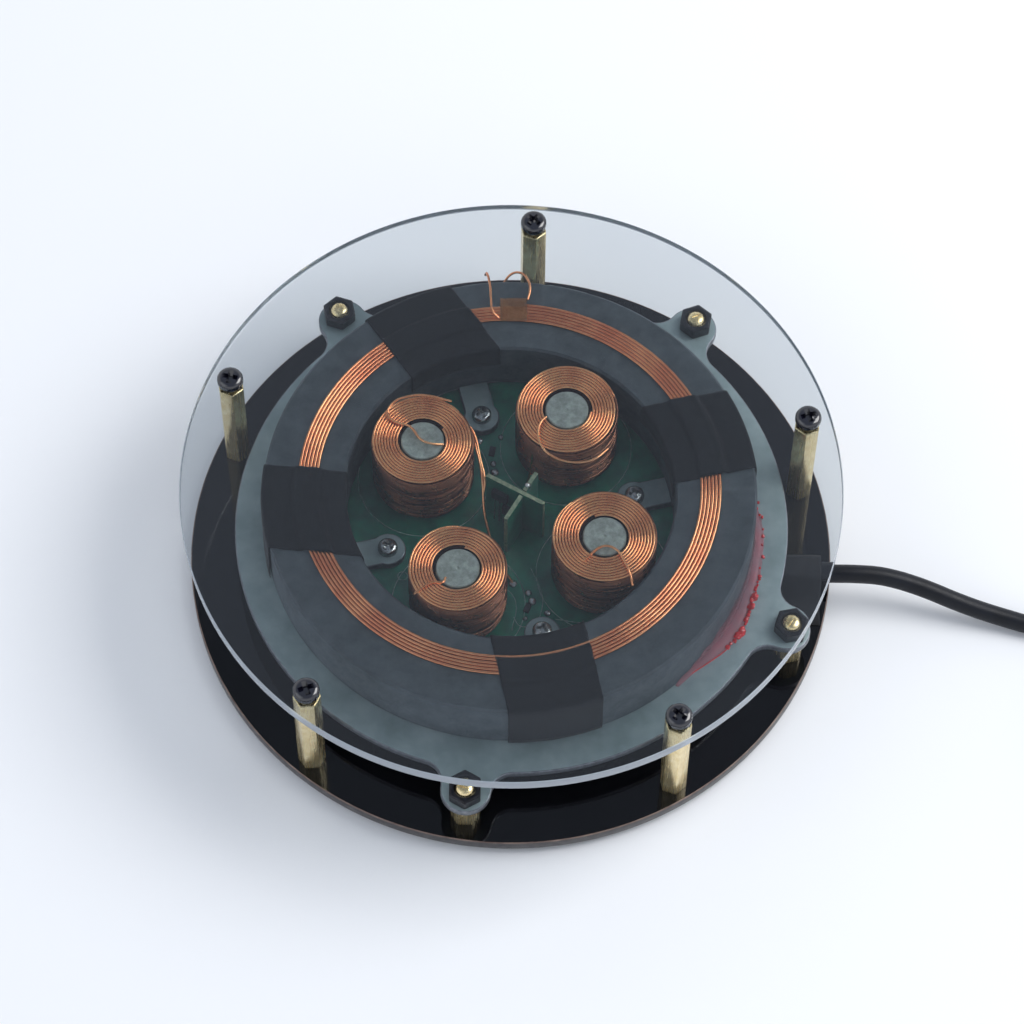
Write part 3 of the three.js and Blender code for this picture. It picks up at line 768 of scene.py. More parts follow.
def pan_head_mesh(name, head_radius, head_height, shank_radius, shank_length):
    """Pan-head screw, its seat at z = 0, with a tapered cross recess."""
    profile = [(0, -shank_length), (shank_radius * 0.8, -shank_length), (shank_radius, -shank_length + 0.3)]
    profile += [(shank_radius, -0.1), (head_radius - 0.15, 0), (head_radius, 0.15)]
    profile.append((head_radius, head_height * 0.42))
    for step in range(1, 9):
        angle = math.radians(90 * step / 8)
        radius = head_radius - head_radius * 0.42 * (1 - math.cos(angle))
        profile.append((radius, head_height * (0.42 + 0.5 * math.sin(angle))))
    profile += [(head_radius * 0.3, head_height * 0.985), (0, head_height)]
    body = mesh_from(name, *lathe(profile, 64))
    return cut_mesh(body, cross_recess(head_radius, head_height))


def add_cover_posts():
    length = top("cover_standoff_1") - bottom("cover_standoff_1")
    bar = hexagonal_prism("cover_standoff", COVER_POST_FLATS, 0, length, POST_CHAMFER)
    screw = pan_head_mesh("m3_screw", **COVER_POST_SCREW)
    for index, (x, y) in enumerate(post_places("cover_standoff", 5)):
        number = index + 1
        turn = COVER_SCREW_TURNS[index]
        post = link(f"hex_post_{number}", bar, ["brass"], (x, y, BASE_TOP), COVER_POST_TURNS[index])
        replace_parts(post, f"cover_standoff_{number}")
        head = link(f"cover_pan_head_{number}", screw, ["black_screw"], (x, y, COVER_TOP), turn)
        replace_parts(head, f"cover_screw_{number}")
        foot = link(f"foot_pan_head_{number}", screw, ["black_screw"], (x, y, BASE_BOTTOM), turn)
        foot.rotation_euler[0] = math.pi
        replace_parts(foot, f"base_screw_{number}")
    return screw


def threaded_stud_mesh(radius, low, high):
    """Screw thread as stacked ridges, with a slotted, domed end."""
    profile = [(0, low)]
    height = low
    root = radius - THREAD_DEPTH
    while height < high - 0.9:
        crest = [(radius, height + THREAD_PITCH * share) for share in (0.4, 0.55)]
        profile += [(root, height)] + crest
        height += THREAD_PITCH
    profile += [(root, height), (radius * 0.82, high - 0.25), (radius * 0.5, high - 0.05), (0, high)]
    body = mesh_from("stud", *lathe(profile, 40))
    slot = box_mesh("slot", (radius * 1.3, 0.5, 0.7), 0.05, (0.5, 0.3, high))
    return cut_mesh(body, slot)


def nut_mesh():
    """Hexagonal nut whose corners are turned down, with a bore and a ring round it."""
    body = hexagonal_prism("nut", NUT_FLATS, 0, NUT_HEIGHT, NUT_CHAMFER)
    profile = [(0, -1), (NUT_BORE_RADIUS, -1), (NUT_BORE_RADIUS, 2.6), (NUT_RING_RADIUS, 3.3), (0, 3.3)]
    return cut_mesh(body, mesh_from("bore", *lathe(profile, 40)))


def add_plate_posts(foot_screw):
    length = PLATE_BOTTOM - BASE_TOP
    bar = hexagonal_prism("plate_standoff", PLATE_POST_FLATS, 0, length, POST_CHAMFER)
    stud = threaded_stud_mesh(STUD_RADIUS, PLATE_BOTTOM - 0.2, top("plate_standoff_1"))
    nut = nut_mesh()
    for index, (x, y) in enumerate(post_places("plate_nut", 4)):
        number = index + 1
        post = link(f"stud_post_{number}", bar, ["brass"], (x, y, BASE_TOP), STUD_TURNS[index])
        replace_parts(post, f"plate_standoff_{number}")
        link(f"stud_thread_{number}", stud, ["brass"], (x, y, 0), 70 * index + 25)
        cap = link(f"stud_nut_{number}", nut, ["black_nut"], (x, y, PLATE_TOP), NUT_TURNS[index])
        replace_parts(cap, f"plate_nut_{number}")
        turn = STUD_FOOT_TURNS[index]
        foot = link(f"stud_foot_{number}", foot_screw, ["black_screw"], (x, y, BASE_BOTTOM), turn)
        foot.rotation_euler[0] = math.pi
        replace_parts(foot, f"plate_base_screw_{number}")


PLATE_RADIUS = 63.8
STUD_HOLE_RADIUS = 2.2
TAB_HOLE_RADIUS = 1.45
EAR_LOBE_RADIUS = 5.7
EAR_LOBE_DISTANCE = 68.0
EAR_FILLET_RADIUS = 5.0
PLATE_OPENING_RADIUS = 39.0
TAB_END_RADIUS = 4.1
TAB_HALF_WIDTH = 3.5


def ear_outline(angle):
    """Fillet, lobe, fillet: one ear of the plate, and the half angle that it takes."""
    reach = PLATE_RADIUS + EAR_FILLET_RADIUS
    joined = EAR_LOBE_RADIUS + EAR_FILLET_RADIUS
    cosine = (reach**2 + EAR_LOBE_DISTANCE**2 - joined**2) / (2 * reach * EAR_LOBE_DISTANCE)
    swing = math.degrees(math.acos(cosine))
    lobe = polar((0, 0), EAR_LOBE_DISTANCE, angle)
    sides = [polar((0, 0), reach, angle - swing), polar((0, 0), reach, angle + swing)]
    facing = [math.degrees(math.atan2(lobe[1] - y, lobe[0] - x)) for x, y in sides]
    first = arc(sides[0], EAR_FILLET_RADIUS, *unwound(angle - swing + 180, facing[0], -1))
    around = arc(lobe, EAR_LOBE_RADIUS, *unwound(facing[0] + 180, facing[1] + 180, 1), 32)
    last = arc(sides[1], EAR_FILLET_RADIUS, *unwound(facing[1], angle + swing + 180, -1))
    return first + around + last, swing


def unwound(start, end, direction):
    """The two angles, the second moved by whole turns to lie the given way from the first."""
    while (end - start) * direction < 0:
        end += 360 * direction
    while (end - start) * direction > 360:
        end -= 360 * direction
    return start, end


def plate_loops():
    outline = []
    order = sorted(angle % 360 for angle in STUD_ANGLES)
    for index, angle in enumerate(order):
        ear, swing = ear_outline(angle)
        following = order[(index + 1) % len(order)] + (360 if index + 1 == len(order) else 0)
        outline += ear + arc((0, 0), PLATE_RADIUS, angle + swing, following - swing, 90)[1:-1]
    opening = []
    side = math.degrees(math.asin(TAB_HALF_WIDTH / PLATE_OPENING_RADIUS))
    tip = math.degrees(math.asin(TAB_HALF_WIDTH / TAB_END_RADIUS))
    for angle in TAB_ANGLES:
        end = polar((0, 0), TAB_SCREW_DISTANCE, angle)
        opening += arc(end, TAB_END_RADIUS, angle - tip, angle + tip - 360, 28)
        opening += arc((0, 0), PLATE_OPENING_RADIUS, angle + side, angle + 90 - side, 60)
    studs = [circle(polar((0, 0), STUD_PITCH_RADIUS, angle), STUD_HOLE_RADIUS) for angle in STUD_ANGLES]
    return [outline, opening] + studs + tab_holes()


def tab_holes():
    """Screw holes, the same in the plate's tabs and in the board."""
    return [circle(polar((0, 0), TAB_SCREW_DISTANCE, angle), TAB_HOLE_RADIUS) for angle in TAB_ANGLES]


def add_mounting_plate():
    plate = outline_mesh("plate", plate_loops(), PLATE_BOTTOM, PLATE_TOP, PLATE_EDGE_ROUNDING)
    piece = link("steel_plate", plate, ["plate", "plate_edge"], (*BOARD_MIDDLE, 0))
    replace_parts(piece, "mounting_plate")


add_discs()
add_plate_posts(add_cover_posts())
add_mounting_plate()


# ---- magnet, flat coil and tape

FLAT_COIL_TURNS = 6
FLAT_COIL_PITCH = 0.82
FLAT_COIL_WIRE_RADIUS = 0.365
FLAT_COIL_OUTER_RADIUS = 48.8
FLAT_COIL_START_ANGLE = 86
FLAT_COIL_POINTS_PER_TURN = 120
MAGNET_CHAMFER = 0.55
AMBER_PATCH_SIZE = (6.2, 6.2, 0.08)
AMBER_PATCH_MIDDLE = (0.1, 49.6)
# Ends of the flat coil's wire, rear of the magnet
OUTER_LEAD = (
    (3.4, 52.2, 31.3), (3.9, 54.7, 31.6), (3.4, 57.4, 31.7), (1.8, 59.6, 31.2),
    (-0.1, 60.2, 30.2), (-1.8, 59.3, 28.6), (-2.5, 57.9, 26.4),
)
INNER_LEAD = (
    (-3.3, 47.2, 31.0), (-4.7, 48.5, 31.9), (-5.2, 51.8, 32.0),
    (-5.5, 56.0, 31.9), (-6.2, 59.3, 31.4), (-6.6, 60.4, 29.0),
)
TAPE_HALF_WIDTH = 10.7
TAPE_THICKNESS = 0.2
TAPE_OUTER_DROP = 14.2
# Middle of each strip, the way it runs, and how far it goes down the bore
TAPE_STRIPS = (
    ((-46.3, -4.0), 174.5, 6.0),
    ((-19.0, 43.6), 125.0, 6.4),
    ((43.3, 16.2), 13.5, 6.0),
    ((8.2, -43.4), -77.5, 6.4),
)


def add_magnet():
    outer = MAGNET_OUTER_RADIUS
    inner = MAGNET_INNER_RADIUS
    chamfer = MAGNET_CHAMFER
    height = MAGNET_TOP - PLATE_TOP
    margin = chamfer * 1.6
    profile = [(inner + chamfer, 0), (outer - chamfer, 0), (outer, chamfer), (outer, height - margin)]
    profile += [(outer, height - chamfer), (outer - chamfer, height), (outer - margin, height)]
    profile += [(inner + margin, height), (inner + chamfer, height), (inner, height - chamfer)]
    profile += [(inner, height - margin), (inner, chamfer)]
    corners, faces = lathe(profile, 720, closed=True)
    chipped = []
    for x, y, z in corners:
        radius = math.hypot(x, y)
        near_rim = height - z < chamfer * 1.2 and min(outer - radius, radius - inner) < chamfer * 1.2
        chip = max(0.0, noise.noise(Vector((x, y, z)) * 0.45) - 0.3) * 0.5 if near_rim else 0.0
        chipped.append((x, y, z - chip))
    mesh = mesh_from("magnet", chipped, faces)
    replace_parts(link("ferrite_ring", mesh, ["ferrite"], (*MAGNET_MIDDLE, PLATE_TOP)), "ring_magnet")


def add_flat_coil():
    x, y, _ = centre("transmitter_coil")
    height = MAGNET_TOP + 0.4
    per_turn = FLAT_COIL_POINTS_PER_TURN
    turns = []
    for step in range(FLAT_COIL_TURNS * per_turn - 4):
        done = step / per_turn
        wander = 0.07 * noise.noise(Vector((done * 1.7, int(done) * 5.1, 0)))
        radius = FLAT_COIL_OUTER_RADIUS - FLAT_COIL_PITCH * (done + 0.5) + wander
        turns.append((*polar((x, y), radius, FLAT_COIL_START_ANGLE - 360 * done), height))
    spiral_curve = tube_curve("flat_coil", [turns], FLAT_COIL_WIRE_RADIUS, False)
    spiral = link("flat_coil_turns", spiral_curve, ["flat_copper"])
    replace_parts(spiral, "transmitter_coil")
    leads = tube_curve("flat_coil_leads", [OUTER_LEAD, INNER_LEAD], FLAT_COIL_WIRE_RADIUS * 0.8)
    link("flat_coil_ends", leads, ["flat_copper"])
    patch = box_mesh("amber", AMBER_PATCH_SIZE, 0.02)
    link("amber_patch", patch, ["amber"], (*AMBER_PATCH_MIDDLE, MAGNET_TOP + 0.9), 1)


def limited(value):
    return min(max(value, 0), 1)


def tape_path(inner_drop):
    """(radius, height) along a strip: up the bore, over the coil on top, down the outer wall."""
    inner = MAGNET_INNER_RADIUS - 0.2
    outer = MAGNET_OUTER_RADIUS + 0.2
    slope = 1.2
    path = [(inner, MAGNET_TOP - inner_drop + inner_drop * step / 6) for step in range(6)]
    path.append((inner + 0.05, MAGNET_TOP - 0.15))
    steps = 44
    hump_low, hump_high = FLAT_COIL_OUTER_RADIUS - 4.92, FLAT_COIL_OUTER_RADIUS
    for step in range(steps + 1):
        radius = inner + 0.3 + (outer - inner - 0.6) * step / steps
        over = limited((radius - hump_low + slope) / slope) * limited((hump_high + slope - radius) / slope)
        path.append((radius, MAGNET_TOP + 0.12 + 0.78 * over * over * (3 - 2 * over)))
    path.append((outer - 0.05, MAGNET_TOP - 0.15))
    path += [(outer + 0.02 * step, MAGNET_TOP - TAPE_OUTER_DROP * step / 10) for step in range(1, 11)]
    return path


def tape_mesh(name, middle_of_strip, angle, inner_drop):
    """A strip draped over the ring: cross lines at equal radius from the ring's middle."""
    turn = math.radians(angle)
    along = Vector((math.cos(turn), math.sin(turn)))
    across = Vector((-along.y, along.x))
    middle = Vector(MAGNET_MIDDLE)
    sideways = (Vector(middle_of_strip) - middle).dot(across)
    path = tape_path(inner_drop)
    columns = 37
    corners = []
    for row, (radius, height) in enumerate(path):
        for column in range(columns):
            share = column / (columns - 1) * 2 - 1
            fray = 0.12 * noise.noise(Vector((row * 0.7, share * 9, angle)))
            side = sideways + share * (TAPE_HALF_WIDTH + fray)
            reach = math.sqrt(max(radius**2 - side**2, 0.0))
            spot = middle + along * reach + across * side
            wrinkle = 0.16 * noise.noise(Vector((spot.x * 0.22, spot.y * 0.22, height * 0.15)))
            crease = 0.1 * noise.noise(Vector((spot.x * 0.7, spot.y * 0.7, angle)))
            lift = max(-0.05, wrinkle + crease)
            outward = 1 if radius > 50 else -1
            if height < MAGNET_TOP - 0.3:
                spot += along * outward * (0.06 + lift * 0.5)
                corners.append((spot.x, spot.y, height))
            else:
                corners.append((spot.x, spot.y, height + lift))
    return mesh_from(name, corners, sheet_faces(len(path), columns), 80)


def add_tape():
    for index, strip in enumerate(TAPE_STRIPS):
        piece = link(f"cloth_strip_{index + 1}", tape_mesh(f"tape_{index + 1}", *strip), ["tape"])
        thicken(piece, TAPE_THICKNESS, 1.0)
        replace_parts(piece, f"tape_strip_{index + 1}")


add_magnet()
add_flat_coil()
add_tape()


# ---- steering coils

WINDING_INNER_RADIUS = 5.25
WINDING_WIRE_RADIUS = 0.29
WINDING_LAYER_PITCH = 0.68
WINDING_TURN_PITCH = 0.57
WINDING_POINTS_PER_TURN = 56
COIL_LEAN = (315, 300, 330, 285)


def winding_routes(index):
    """The turns that show: the spiral face on top, and the two outermost layers."""
    outer = half_width(f"coil_winding_{index + 1}")
    inner = WINDING_INNER_RADIUS
    high = top(f"coil_winding_{index + 1}") - WINDING_WIRE_RADIUS - 0.05
    low = bottom(f"coil_winding_{index + 1}") + WINDING_WIRE_RADIUS
    face = []
    width = outer - inner - 2 * WINDING_WIRE_RADIUS
    layers = round(width / WINDING_LAYER_PITCH)
    pitch = width / layers
    per_turn = WINDING_POINTS_PER_TURN
    for step in range(layers * per_turn):
        done = step / per_turn
        angle = 360 * done + 40 * index
        around = math.radians(angle)
        sway = Vector((math.cos(around) * 0.9, done * 0.8 + index * 3.7, math.sin(around) * 0.9))
        radius = outer - WINDING_WIRE_RADIUS - 0.03 - pitch * done + 0.05 * noise.noise(sway)
        rise = max(0.0, 1 - done / 0.15)
        height = high + 0.07 * noise.noise(sway * 1.3) - 1.2 * rise * rise
        face.append((*polar((0, 0), max(radius, inner + 0.3), angle), height))
    routes = [face]
    lean = math.radians(COIL_LEAN[index])
    for layer in range(2):
        helix = []
        turns = int((high - low) / WINDING_TURN_PITCH)
        for step in range(turns * per_turn):
            done = step / per_turn
            angle = math.radians(360 * done + 90 * index)
            depth = done / turns
            looseness = max(0.0, math.cos(angle - lean)) ** 2 * min(1.0, depth * 3)
            whim = noise.noise(Vector((done * 0.9, index * 7.7, math.cos(angle) * 0.7)))
            radius = outer - WINDING_WIRE_RADIUS - 0.03 - WINDING_LAYER_PITCH * layer
            radius += looseness * (0.5 * whim - 0.15) - 0.08 * abs(whim)
            height = high - 0.5 - WINDING_TURN_PITCH * done - looseness * (0.35 + 1.3 * whim)
            helix.append((radius * math.cos(angle), radius * math.sin(angle), max(height, low)))
        routes.append(helix)
    return routes


def winding_body(index):
    """The turns that don't show, as one ribbed body under them, in near-black copper: painted shade in the
    gaps between the turns.
    """
    outer = half_width(f"coil_winding_{index + 1}") - 1.25
    low = bottom(f"coil_winding_{index + 1}") + 0.1
    high = top(f"coil_winding_{index + 1}") - 0.65
    inner = WINDING_INNER_RADIUS + 0.05
    profile = [(inner, low), (outer, low)]
    height = low
    while height < high - 0.6:
        crest = outer + 0.12
        profile += [(crest, height + 0.15), (crest, height + 0.4), (outer - 0.08, height + 0.55)]
        height += 0.58
    profile += [(outer, high), (inner, high)]
    return lathe(profile, 96, closed=True)


def add_steering_coils():
    for index in range(4):
        number = index + 1
        x, y, _ = centre(f"coil_winding_{number}")
        face, *layers = winding_routes(index)
        turns = tube_curve(f"turns_{number}", [face], WINDING_WIRE_RADIUS, False)
        piece = link(f"steering_turns_{number}", turns, ["copper"], (x, y, 0))
        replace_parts(piece, f"coil_winding_{number}")
        # The side layers take the darker copper, which is painted shade.
        side = tube_curve(f"side_{number}", layers, WINDING_WIRE_RADIUS, False, ring=2)
        link(f"steering_sides_{number}", side, ["side_copper_painted_shade"], (x, y, 0))
        body = mesh_from(f"body_{number}", *winding_body(index))
        link(f"steering_body_{number}", body, ["under_copper_painted_shade"], (x, y, 0))
        add_core(number, x, y)


def add_core(number, x, y):
    """Steel core, with a small centre mark in its cut end."""
    radius = half_width(f"coil_core_{number}")
    high = top(f"coil_core_{number}") - BOARD_TOP
    profile = [(0, 0), (radius, 0), (radius, high - 0.25), (radius - 0.25, high)]
    profile += [(radius * share, high - 0.02 * (1 - share)) for share in (0.8, 0.6, 0.4, 0.2)]
    profile += [(0.42, high - 0.02), (0.3, high - 0.18), (0, high - 0.3)]
    mesh = mesh_from(f"core_{number}", *lathe(profile, 72))
    rod = link(f"core_rod_{number}", mesh, ["core"], (x, y, BOARD_TOP), 40 * number)
    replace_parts(rod, f"coil_core_{number}")


# Loose ends of the coils, from start to finish
LOOSE_WIRES = (
    ((-14.0, 24.6, 31.0), (-20.1, 25.6, 31.9), (-24.0, 25.0, 32.3), (-27.6, 23.1, 32.2),
     (-28.5, 20.4, 31.8), (-26.6, 18.6, 31.7), (-23.4, 17.3, 31.8), (-20.6, 13.6, 32.0),
     (-18.3, 12.9, 31.7), (-15.6, 13.1, 31.0)),
    ((-9.6, 18.4, 30.0), (-8.7, 16.9, 29.6), (-7.3, 11.6, 28.0), (-6.1, 6.3, 26.0),
     (-6.4, 3.6, 24.0), (-5.3, -2.8, 20.5), (-3.2, -8.6, 17.0), (0.5, -13.4, 13.8)),
    ((-9.2, 18.0, 29.0), (-8.3, 14.0, 28.6), (-7.0, 9.0, 27.0), (-6.6, 5.4, 25.2),
     (-6.2, 0.6, 22.6), (-4.9, -4.6, 19.0), (-3.6, -9.0, 15.6), (-2.9, -10.4, 13.9)),
    ((7.9, 20.6, 31.2), (6.9, 19.4, 31.5), (6.0, 16.9, 31.6), (6.7, 12.9, 31.4),
     (8.9, 10.6, 30.9), (14.4, 8.9, 30.6), (18.8, 9.7, 30.8), (22.0, 12.6, 30.6)),
    ((-14.6, -21.4, 31.0), (-15.2, -22.9, 31.5), (-17.4, -22.9, 31.5), (-19.8, -24.2, 31.3),
     (-21.6, -25.6, 30.8)),
    ((16.4, -16.9, 31.1), (18.3, -15.1, 31.6), (20.1, -13.8, 31.9), (21.7, -13.5, 32.0),
     (23.9, -14.5, 31.9), (25.6, -17.2, 31.6), (26.9, -20.4, 31.2), (27.4, -22.6, 30.2)),
    ((4.9, 14.5, 26.0), (4.5, 13.0, 22.0), (3.7, 10.6, 18.0), (2.6, 8.6, 14.0)),
)


def add_loose_wires():
    link("loose_coil_ends", tube_curve("loose_ends", LOOSE_WIRES, WINDING_WIRE_RADIUS), ["copper"])


add_steering_coils()
add_loose_wires()


# ---- board and its parts

SILKSCREEN_RADIUS = 15.3
# How much further each board screw is turned than the tab under it
BOARD_SCREW_TWIST = 20
PRINTED_LINES = (
    ((4.6, -9.2), (6.0, -12.6), (7.4, -17.0), (6.6, -22.8)),
    ((-4.6, -12.6), (-0.6, -15.0), (1.2, -18.0), (0.4, -25.4)),
    ((0.8, -22.0), (2.2, -24.2), (5.6, -24.2)),
    ((10.4, -22.4), (16.0, -23.2), (21.0, -22.6)),
)
SOLDER_SPOTS = (
    (-2.6, 25.4), (-4.3, 18.2), (-3.9, 15.9), (-3.0, 13.6), (4.1, -15.8), (5.0, -17.9), (3.4, -22.4),
    (8.5, -21.0), (-7.6, 24.3), (29.6, 9.3), (-2.9, -10.4), (0.5, -13.4), (2.6, 8.6), (12.6, -3.0),
)
# Place and turn of each small part between the coils
SMALL_PARTS = ((3.9, -19.8, 70), (-4.6, 21.4, 80), (31.4, 8.2, 20), (-3.4, 11.4, 70))


def add_board():
    rim = circle((0, 0), half_width("circuit_board"), 180)
    board = outline_mesh("board", [rim] + tab_holes(), BOARD_BOTTOM, BOARD_TOP, 0.1)
    piece = link("green_board", board, ["board", "board_edge"], (*BOARD_MIDDLE, 0))
    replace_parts(piece, "circuit_board")
    rings = [circle(centre(f"coil_core_{number}")[:2], SILKSCREEN_RADIUS, 96) for number in range(1, 5)]
    rings.append(circle((-24.8, -11.6), 1.1, 16))
    curve = tube_curve("marks", flat_routes(rings), 0.11, False, ring=1)
    for spline in curve.splines:
        spline.use_cyclic_u = True
    link("board_rings", curve, ["silkscreen"], (0, 0, BOARD_TOP + 0.02))
    lines = tube_curve("lines", flat_routes(PRINTED_LINES), 0.1, ring=1)
    link("board_lines", lines, ["silkscreen"], (0, 0, BOARD_TOP + 0.02))


def flat_routes(lines):
    return [[(x, y, 0) for x, y in line] for line in lines]


def add_board_screws():
    screw = pan_head_mesh("m2_screw", **BOARD_SCREW)
    for index, angle in enumerate(TAB_ANGLES):
        number = index + 1
        x, y, _ = centre(f"board_screw_{number}")
        turn = angle + BOARD_SCREW_TWIST * index
        piece = link(f"tab_screw_{number}", screw, ["bright_screw"], (x, y, PLATE_TOP), turn)
        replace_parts(piece, f"board_screw_{number}")


def add_solder():
    drops = []
    for index, (x, y) in enumerate(SOLDER_SPOTS):
        drops.append((x, y, BOARD_TOP + 0.2, 0.62 + 0.16 * (index % 3), 0.55))
    link("solder_joints", blob_mesh("solder", drops), ["solder"])
    for index, (x, y, turn) in enumerate(SMALL_PARTS):
        chip = box_mesh(f"chip_{index}", (2.2, 1.3, 0.9), 0.08, (0, 0, 0.5))
        link(f"small_part_{index + 1}", chip, ["chip"], (x, y, BOARD_TOP), turn)


def add_sensor_boards():
    """Three upright boards in a cross; sensors and their legs stand against them."""
    layout = {
        "sensor_board_long": (15.0, 0, 0, SENSOR_TURN),
        "sensor_board_rear": (5.4, 3.5, -SENSOR_CROSSING, SENSOR_TURN + 90),
        "sensor_board_front": (7.0, -4.3, -SENSOR_CROSSING, SENSOR_TURN + 90),
    }
    for node, (length, along, across, turn) in layout.items():
        low, high = bottom(node), top(node)
        size = (length, SENSOR_BOARD_THICKNESS, high - low)
        mesh = box_mesh(node, size, 0.1, (along, across, (low + high) / 2))
        for face in mesh.polygons:
            broad = abs(face.normal.y) > 0.9
            face.material_index = 0 if broad else 1
        piece = link(f"{node}_panel", mesh, ["board", "board_edge"], (*SENSOR_CENTRE, 0), turn)
        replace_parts(piece, node)
    sensors = ((-3.4, -1.15, 24.0), (-0.4, -1.6, 20.0), (4.8, 1.15, 23.4))
    for index, (along, across, height) in enumerate(sensors):
        body = box_mesh(f"sensor_{index}", (4.0, 1.1, 3.2), 0.15, (along, across, height))
        link(f"field_sensor_{index + 1}", body, ["chip"], (*SENSOR_CENTRE, 0), SENSOR_TURN)
    legs = []
    for along, across, height in sensors:
        for leg in (-SENSOR_LEG_PITCH, 0.0, SENSOR_LEG_PITCH):
            bends = ((across, height - 1.5), (across * 1.15, height - 4), (across * 1.3, BOARD_TOP))
            legs.append([(along + leg, y, z) for y, z in bends])
    wires = tube_curve("legs", legs, 0.22, ring=1)
    link("sensor_legs", wires, ["solder"], (*SENSOR_CENTRE, 0), SENSOR_TURN)
    tips = [
        (3.7, 3.9, 28.5, 0.75, 0.7),
        (1.7, 0.6, 28.2, 0.5, 0.45),
        (1.0, -0.6, 26.4, 0.5, 0.5),
        (0.3, -2.2, 25.2, 0.45, 0.4),
    ]
    link("sensor_solder", blob_mesh("tips", tips), ["solder"])


def add_underside_parts():
    """Parts that hang from the board's underside: look, place, size and turn."""
    parts = (
        ("teal", (13.5, -36.0), (6.0, 4.0, 3.6), 15),
        ("nylon", (24.0, -30.0), (5.0, 5.0, 4.2), 40),
        ("chip", (0.0, 0.0), (9.0, 9.0, 1.6), 14),
        ("chip", (-20.0, 14.0), (6.0, 5.0, 1.8), 14),
        ("chip", (18.0, 20.0), (6.5, 6.5, 2.2), 14),
        ("chip", (-18.0, -22.0), (5.0, 4.0, 1.5), 14),
    )
    for index, (look, (x, y), size, turn) in enumerate(parts):
        mesh = box_mesh(f"under_{index}", size, 0.2, (0, 0, -size[2] / 2))
        link(f"underside_part_{index + 1}", mesh, [look], (x, y, BOARD_BOTTOM), turn)


add_board()
add_board_screws()
add_solder()
add_sensor_boards()
add_underside_parts()


# ---- glue

GLUE_CENTRE = (0.0, 1.9)
# Outer edge of the glue on the plate: (angle, radius)
GLUE_EDGE = (
    (-48, 56.2), (-43.5, 56.6), (-39.5, 57.5), (-34, 59.0), (-29, 59.9), (-25, 59.3),
    (-20, 58.9), (-14.5, 58.8), (-8, 58.5), (-2, 58.3), (3, 57.4), (6.5, 56.5),
)
# Larger and smaller separate beads: (angle, radius)
LARGE_BEADS = ((-29.5, 59.5), (-28.7, 59.9), (-27.9, 59.6), (-21.5, 59.3), (-19.0, 59.1))
SMALL_BEADS = ((5.5, 57.4), (1.6, 58.0), (-33, 57.3), (-26, 57.5), (-24, 57.2), (-17, 57.2))


def glue_edge_radius(angle):
    for (a, low), (b, high) in zip(GLUE_EDGE, GLUE_EDGE[1:]):
        if a <= angle <= b:
            return low + (high - low) * (angle - a) / (b - a)
    return GLUE_EDGE[-1][1]


def add_glue():
    first, last = GLUE_EDGE[0][0], GLUE_EDGE[-1][0]
    steps, rows = 160, 8
    wall = MAGNET_OUTER_RADIUS + 0.06
    corners = []
    for step in range(steps + 1):
        angle = first + (last - first) * step / steps
        taper = math.sin(math.pi * step / steps) ** 0.6
        climb = GLUE_HEIGHT * taper * (0.85 + 0.4 * noise.noise(Vector((step * 0.12, 0, 0))))
        edge = glue_edge_radius(angle) + 0.25 * noise.noise(Vector((step * 0.4, 3, 0)))
        start = polar(MAGNET_MIDDLE, wall, angle)
        end = polar(GLUE_CENTRE, max(edge, 56.9), angle)
        for row in range(rows + 1):
            share = row / rows
            hang = (1 - share) ** 3
            x = start[0] + (end[0] - start[0]) * share
            y = start[1] + (end[1] - start[1]) * share
            corners.append((x, y, PLATE_TOP + 0.06 + climb * hang))
    mesh = mesh_from("film", corners, sheet_faces(steps + 1, rows + 1), 80)
    thicken(link("glue_film", mesh, ["glue_film"]), 0.06, -1.0)
    add_glue_beads(first, last)


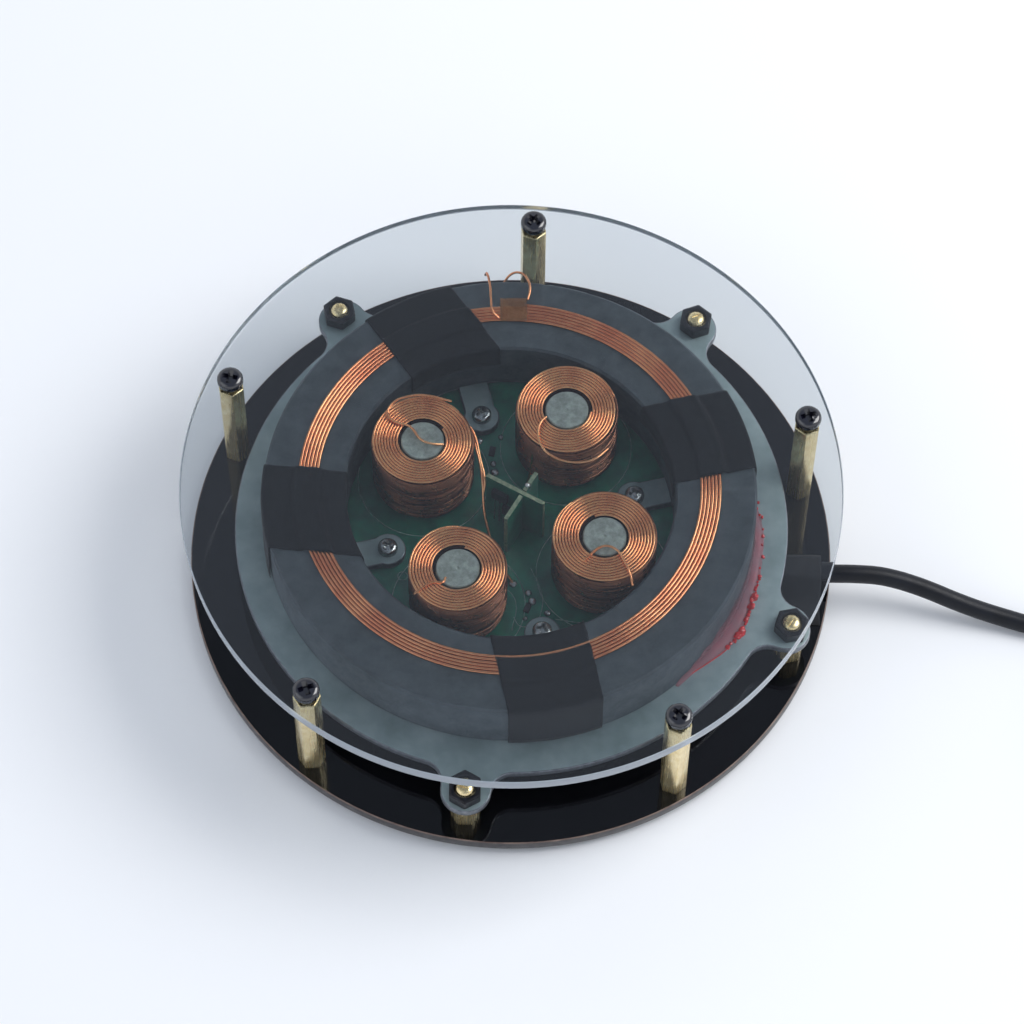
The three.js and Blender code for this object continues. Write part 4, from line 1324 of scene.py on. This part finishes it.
def add_glue_beads(first, last):
    drops = []
    angle = first + 15
    while angle < last:
        crowd = 1.0 if angle < -14 else 0.45
        size = random.uniform(0.28, 0.62) * (1.0 if random.random() < crowd else 0.7)
        x, y = polar(GLUE_CENTRE, glue_edge_radius(angle) - random.uniform(-0.15, 0.35), angle)
        drops.append((x, y, PLATE_TOP + 0.2, size, size * 0.8))
        angle += random.uniform(0.5, 1.1) if crowd == 1.0 else random.uniform(1.6, 3.8)
    for angle, radius in LARGE_BEADS:
        drops.append((*polar(GLUE_CENTRE, radius, angle), PLATE_TOP + 0.4, 0.8, 0.7))
    for angle, radius in SMALL_BEADS:
        drops.append((*polar(GLUE_CENTRE, radius, angle), PLATE_TOP + 0.3, 0.35, 0.3))
    link("glue_beads", blob_mesh("beads", drops, 0.5), ["glue"])
    flecks = []
    for step in range(26):
        angle = -34 + 1.15 * step + random.uniform(-0.4, 0.4)
        spot = polar(MAGNET_MIDDLE, 57.05 + random.uniform(-0.1, 0.2), angle)
        flecks.append((*spot, PLATE_TOP + 0.75, random.uniform(0.14, 0.3), 0.24))
    link("glue_flecks", blob_mesh("flecks", flecks, 0.5), ["dark_glue"])
    edge = []
    for angle in range(-47, -31, 2):
        edge.append((*polar(GLUE_CENTRE, glue_edge_radius(angle), angle), PLATE_TOP + 0.12))
    link("glue_rim", tube_curve("glue_rim", [edge], 0.14, ring=2), ["glue"])


add_glue()


# ---- power inlet and cord ends


# Section of the tape over the cord, across it from the front: (y, height)
CORD_TAPE_LINE = (
    (-18.6, 5.45), (-16.4, 5.45), (-14.2, 5.6), (-12.4, 7.6), (-11.0, 10.6), (-10.4, 12.3), (-9.0, 12.75),
    (-7.4, 12.85), (-5.8, 12.75), (-4.5, 12.2), (-4.1, 9.6), (-3.5, 6.0), (-2.9, 5.5), (-2.2, 5.45),
)


def add_cord_tape():
    """Tape over the cord, stuck down on the base on both sides of it."""
    low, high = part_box("cord_tape")
    start, end = low[0] / MM, high[0] / MM
    rows = 24
    corners = []
    for row in range(rows + 1):
        for column, (y, z) in enumerate(CORD_TAPE_LINE):
            fray = 0.25 * noise.noise(Vector((column * 0.9, 0, row // rows * 3)))
            x = start + 0.3 + (end - start - 0.6) * row / rows + fray
            crumple = 0.12 * noise.noise(Vector((x * 0.6, y * 0.6, 1)))
            corners.append((x, y + crumple * 0.5, min(z + crumple, high[2] / MM - 0.02)))
    faces = sheet_faces(rows + 1, len(CORD_TAPE_LINE))
    piece = link("cord_patch", mesh_from("cord_patch", corners, faces, 80), ["tape"])
    thicken(piece, TAPE_THICKNESS, -1.0)
    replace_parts(piece, "cord_tape")


def dress_cad_node(node, look, bevel):
    """A CAD node kept as it is, with softened edges and its material."""
    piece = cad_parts[node]
    piece.data.materials.clear()
    piece.data.materials.append(LOOKS[look].material)
    soften = piece.modifiers.new("soft_edges", "BEVEL")
    soften.width = bevel * MM
    soften.segments = 2
    soften.limit_method = "ANGLE"
    soften.angle_limit = math.radians(35)


add_cord_tape()
dress_cad_node("power_socket", "nylon", 0.3)
dress_cad_node("power_plug", "rubber", 0.2)
dress_cad_node("cord_connector", "rubber", 0.2)
dress_cad_node("cord_tie", "tape", 0.1)
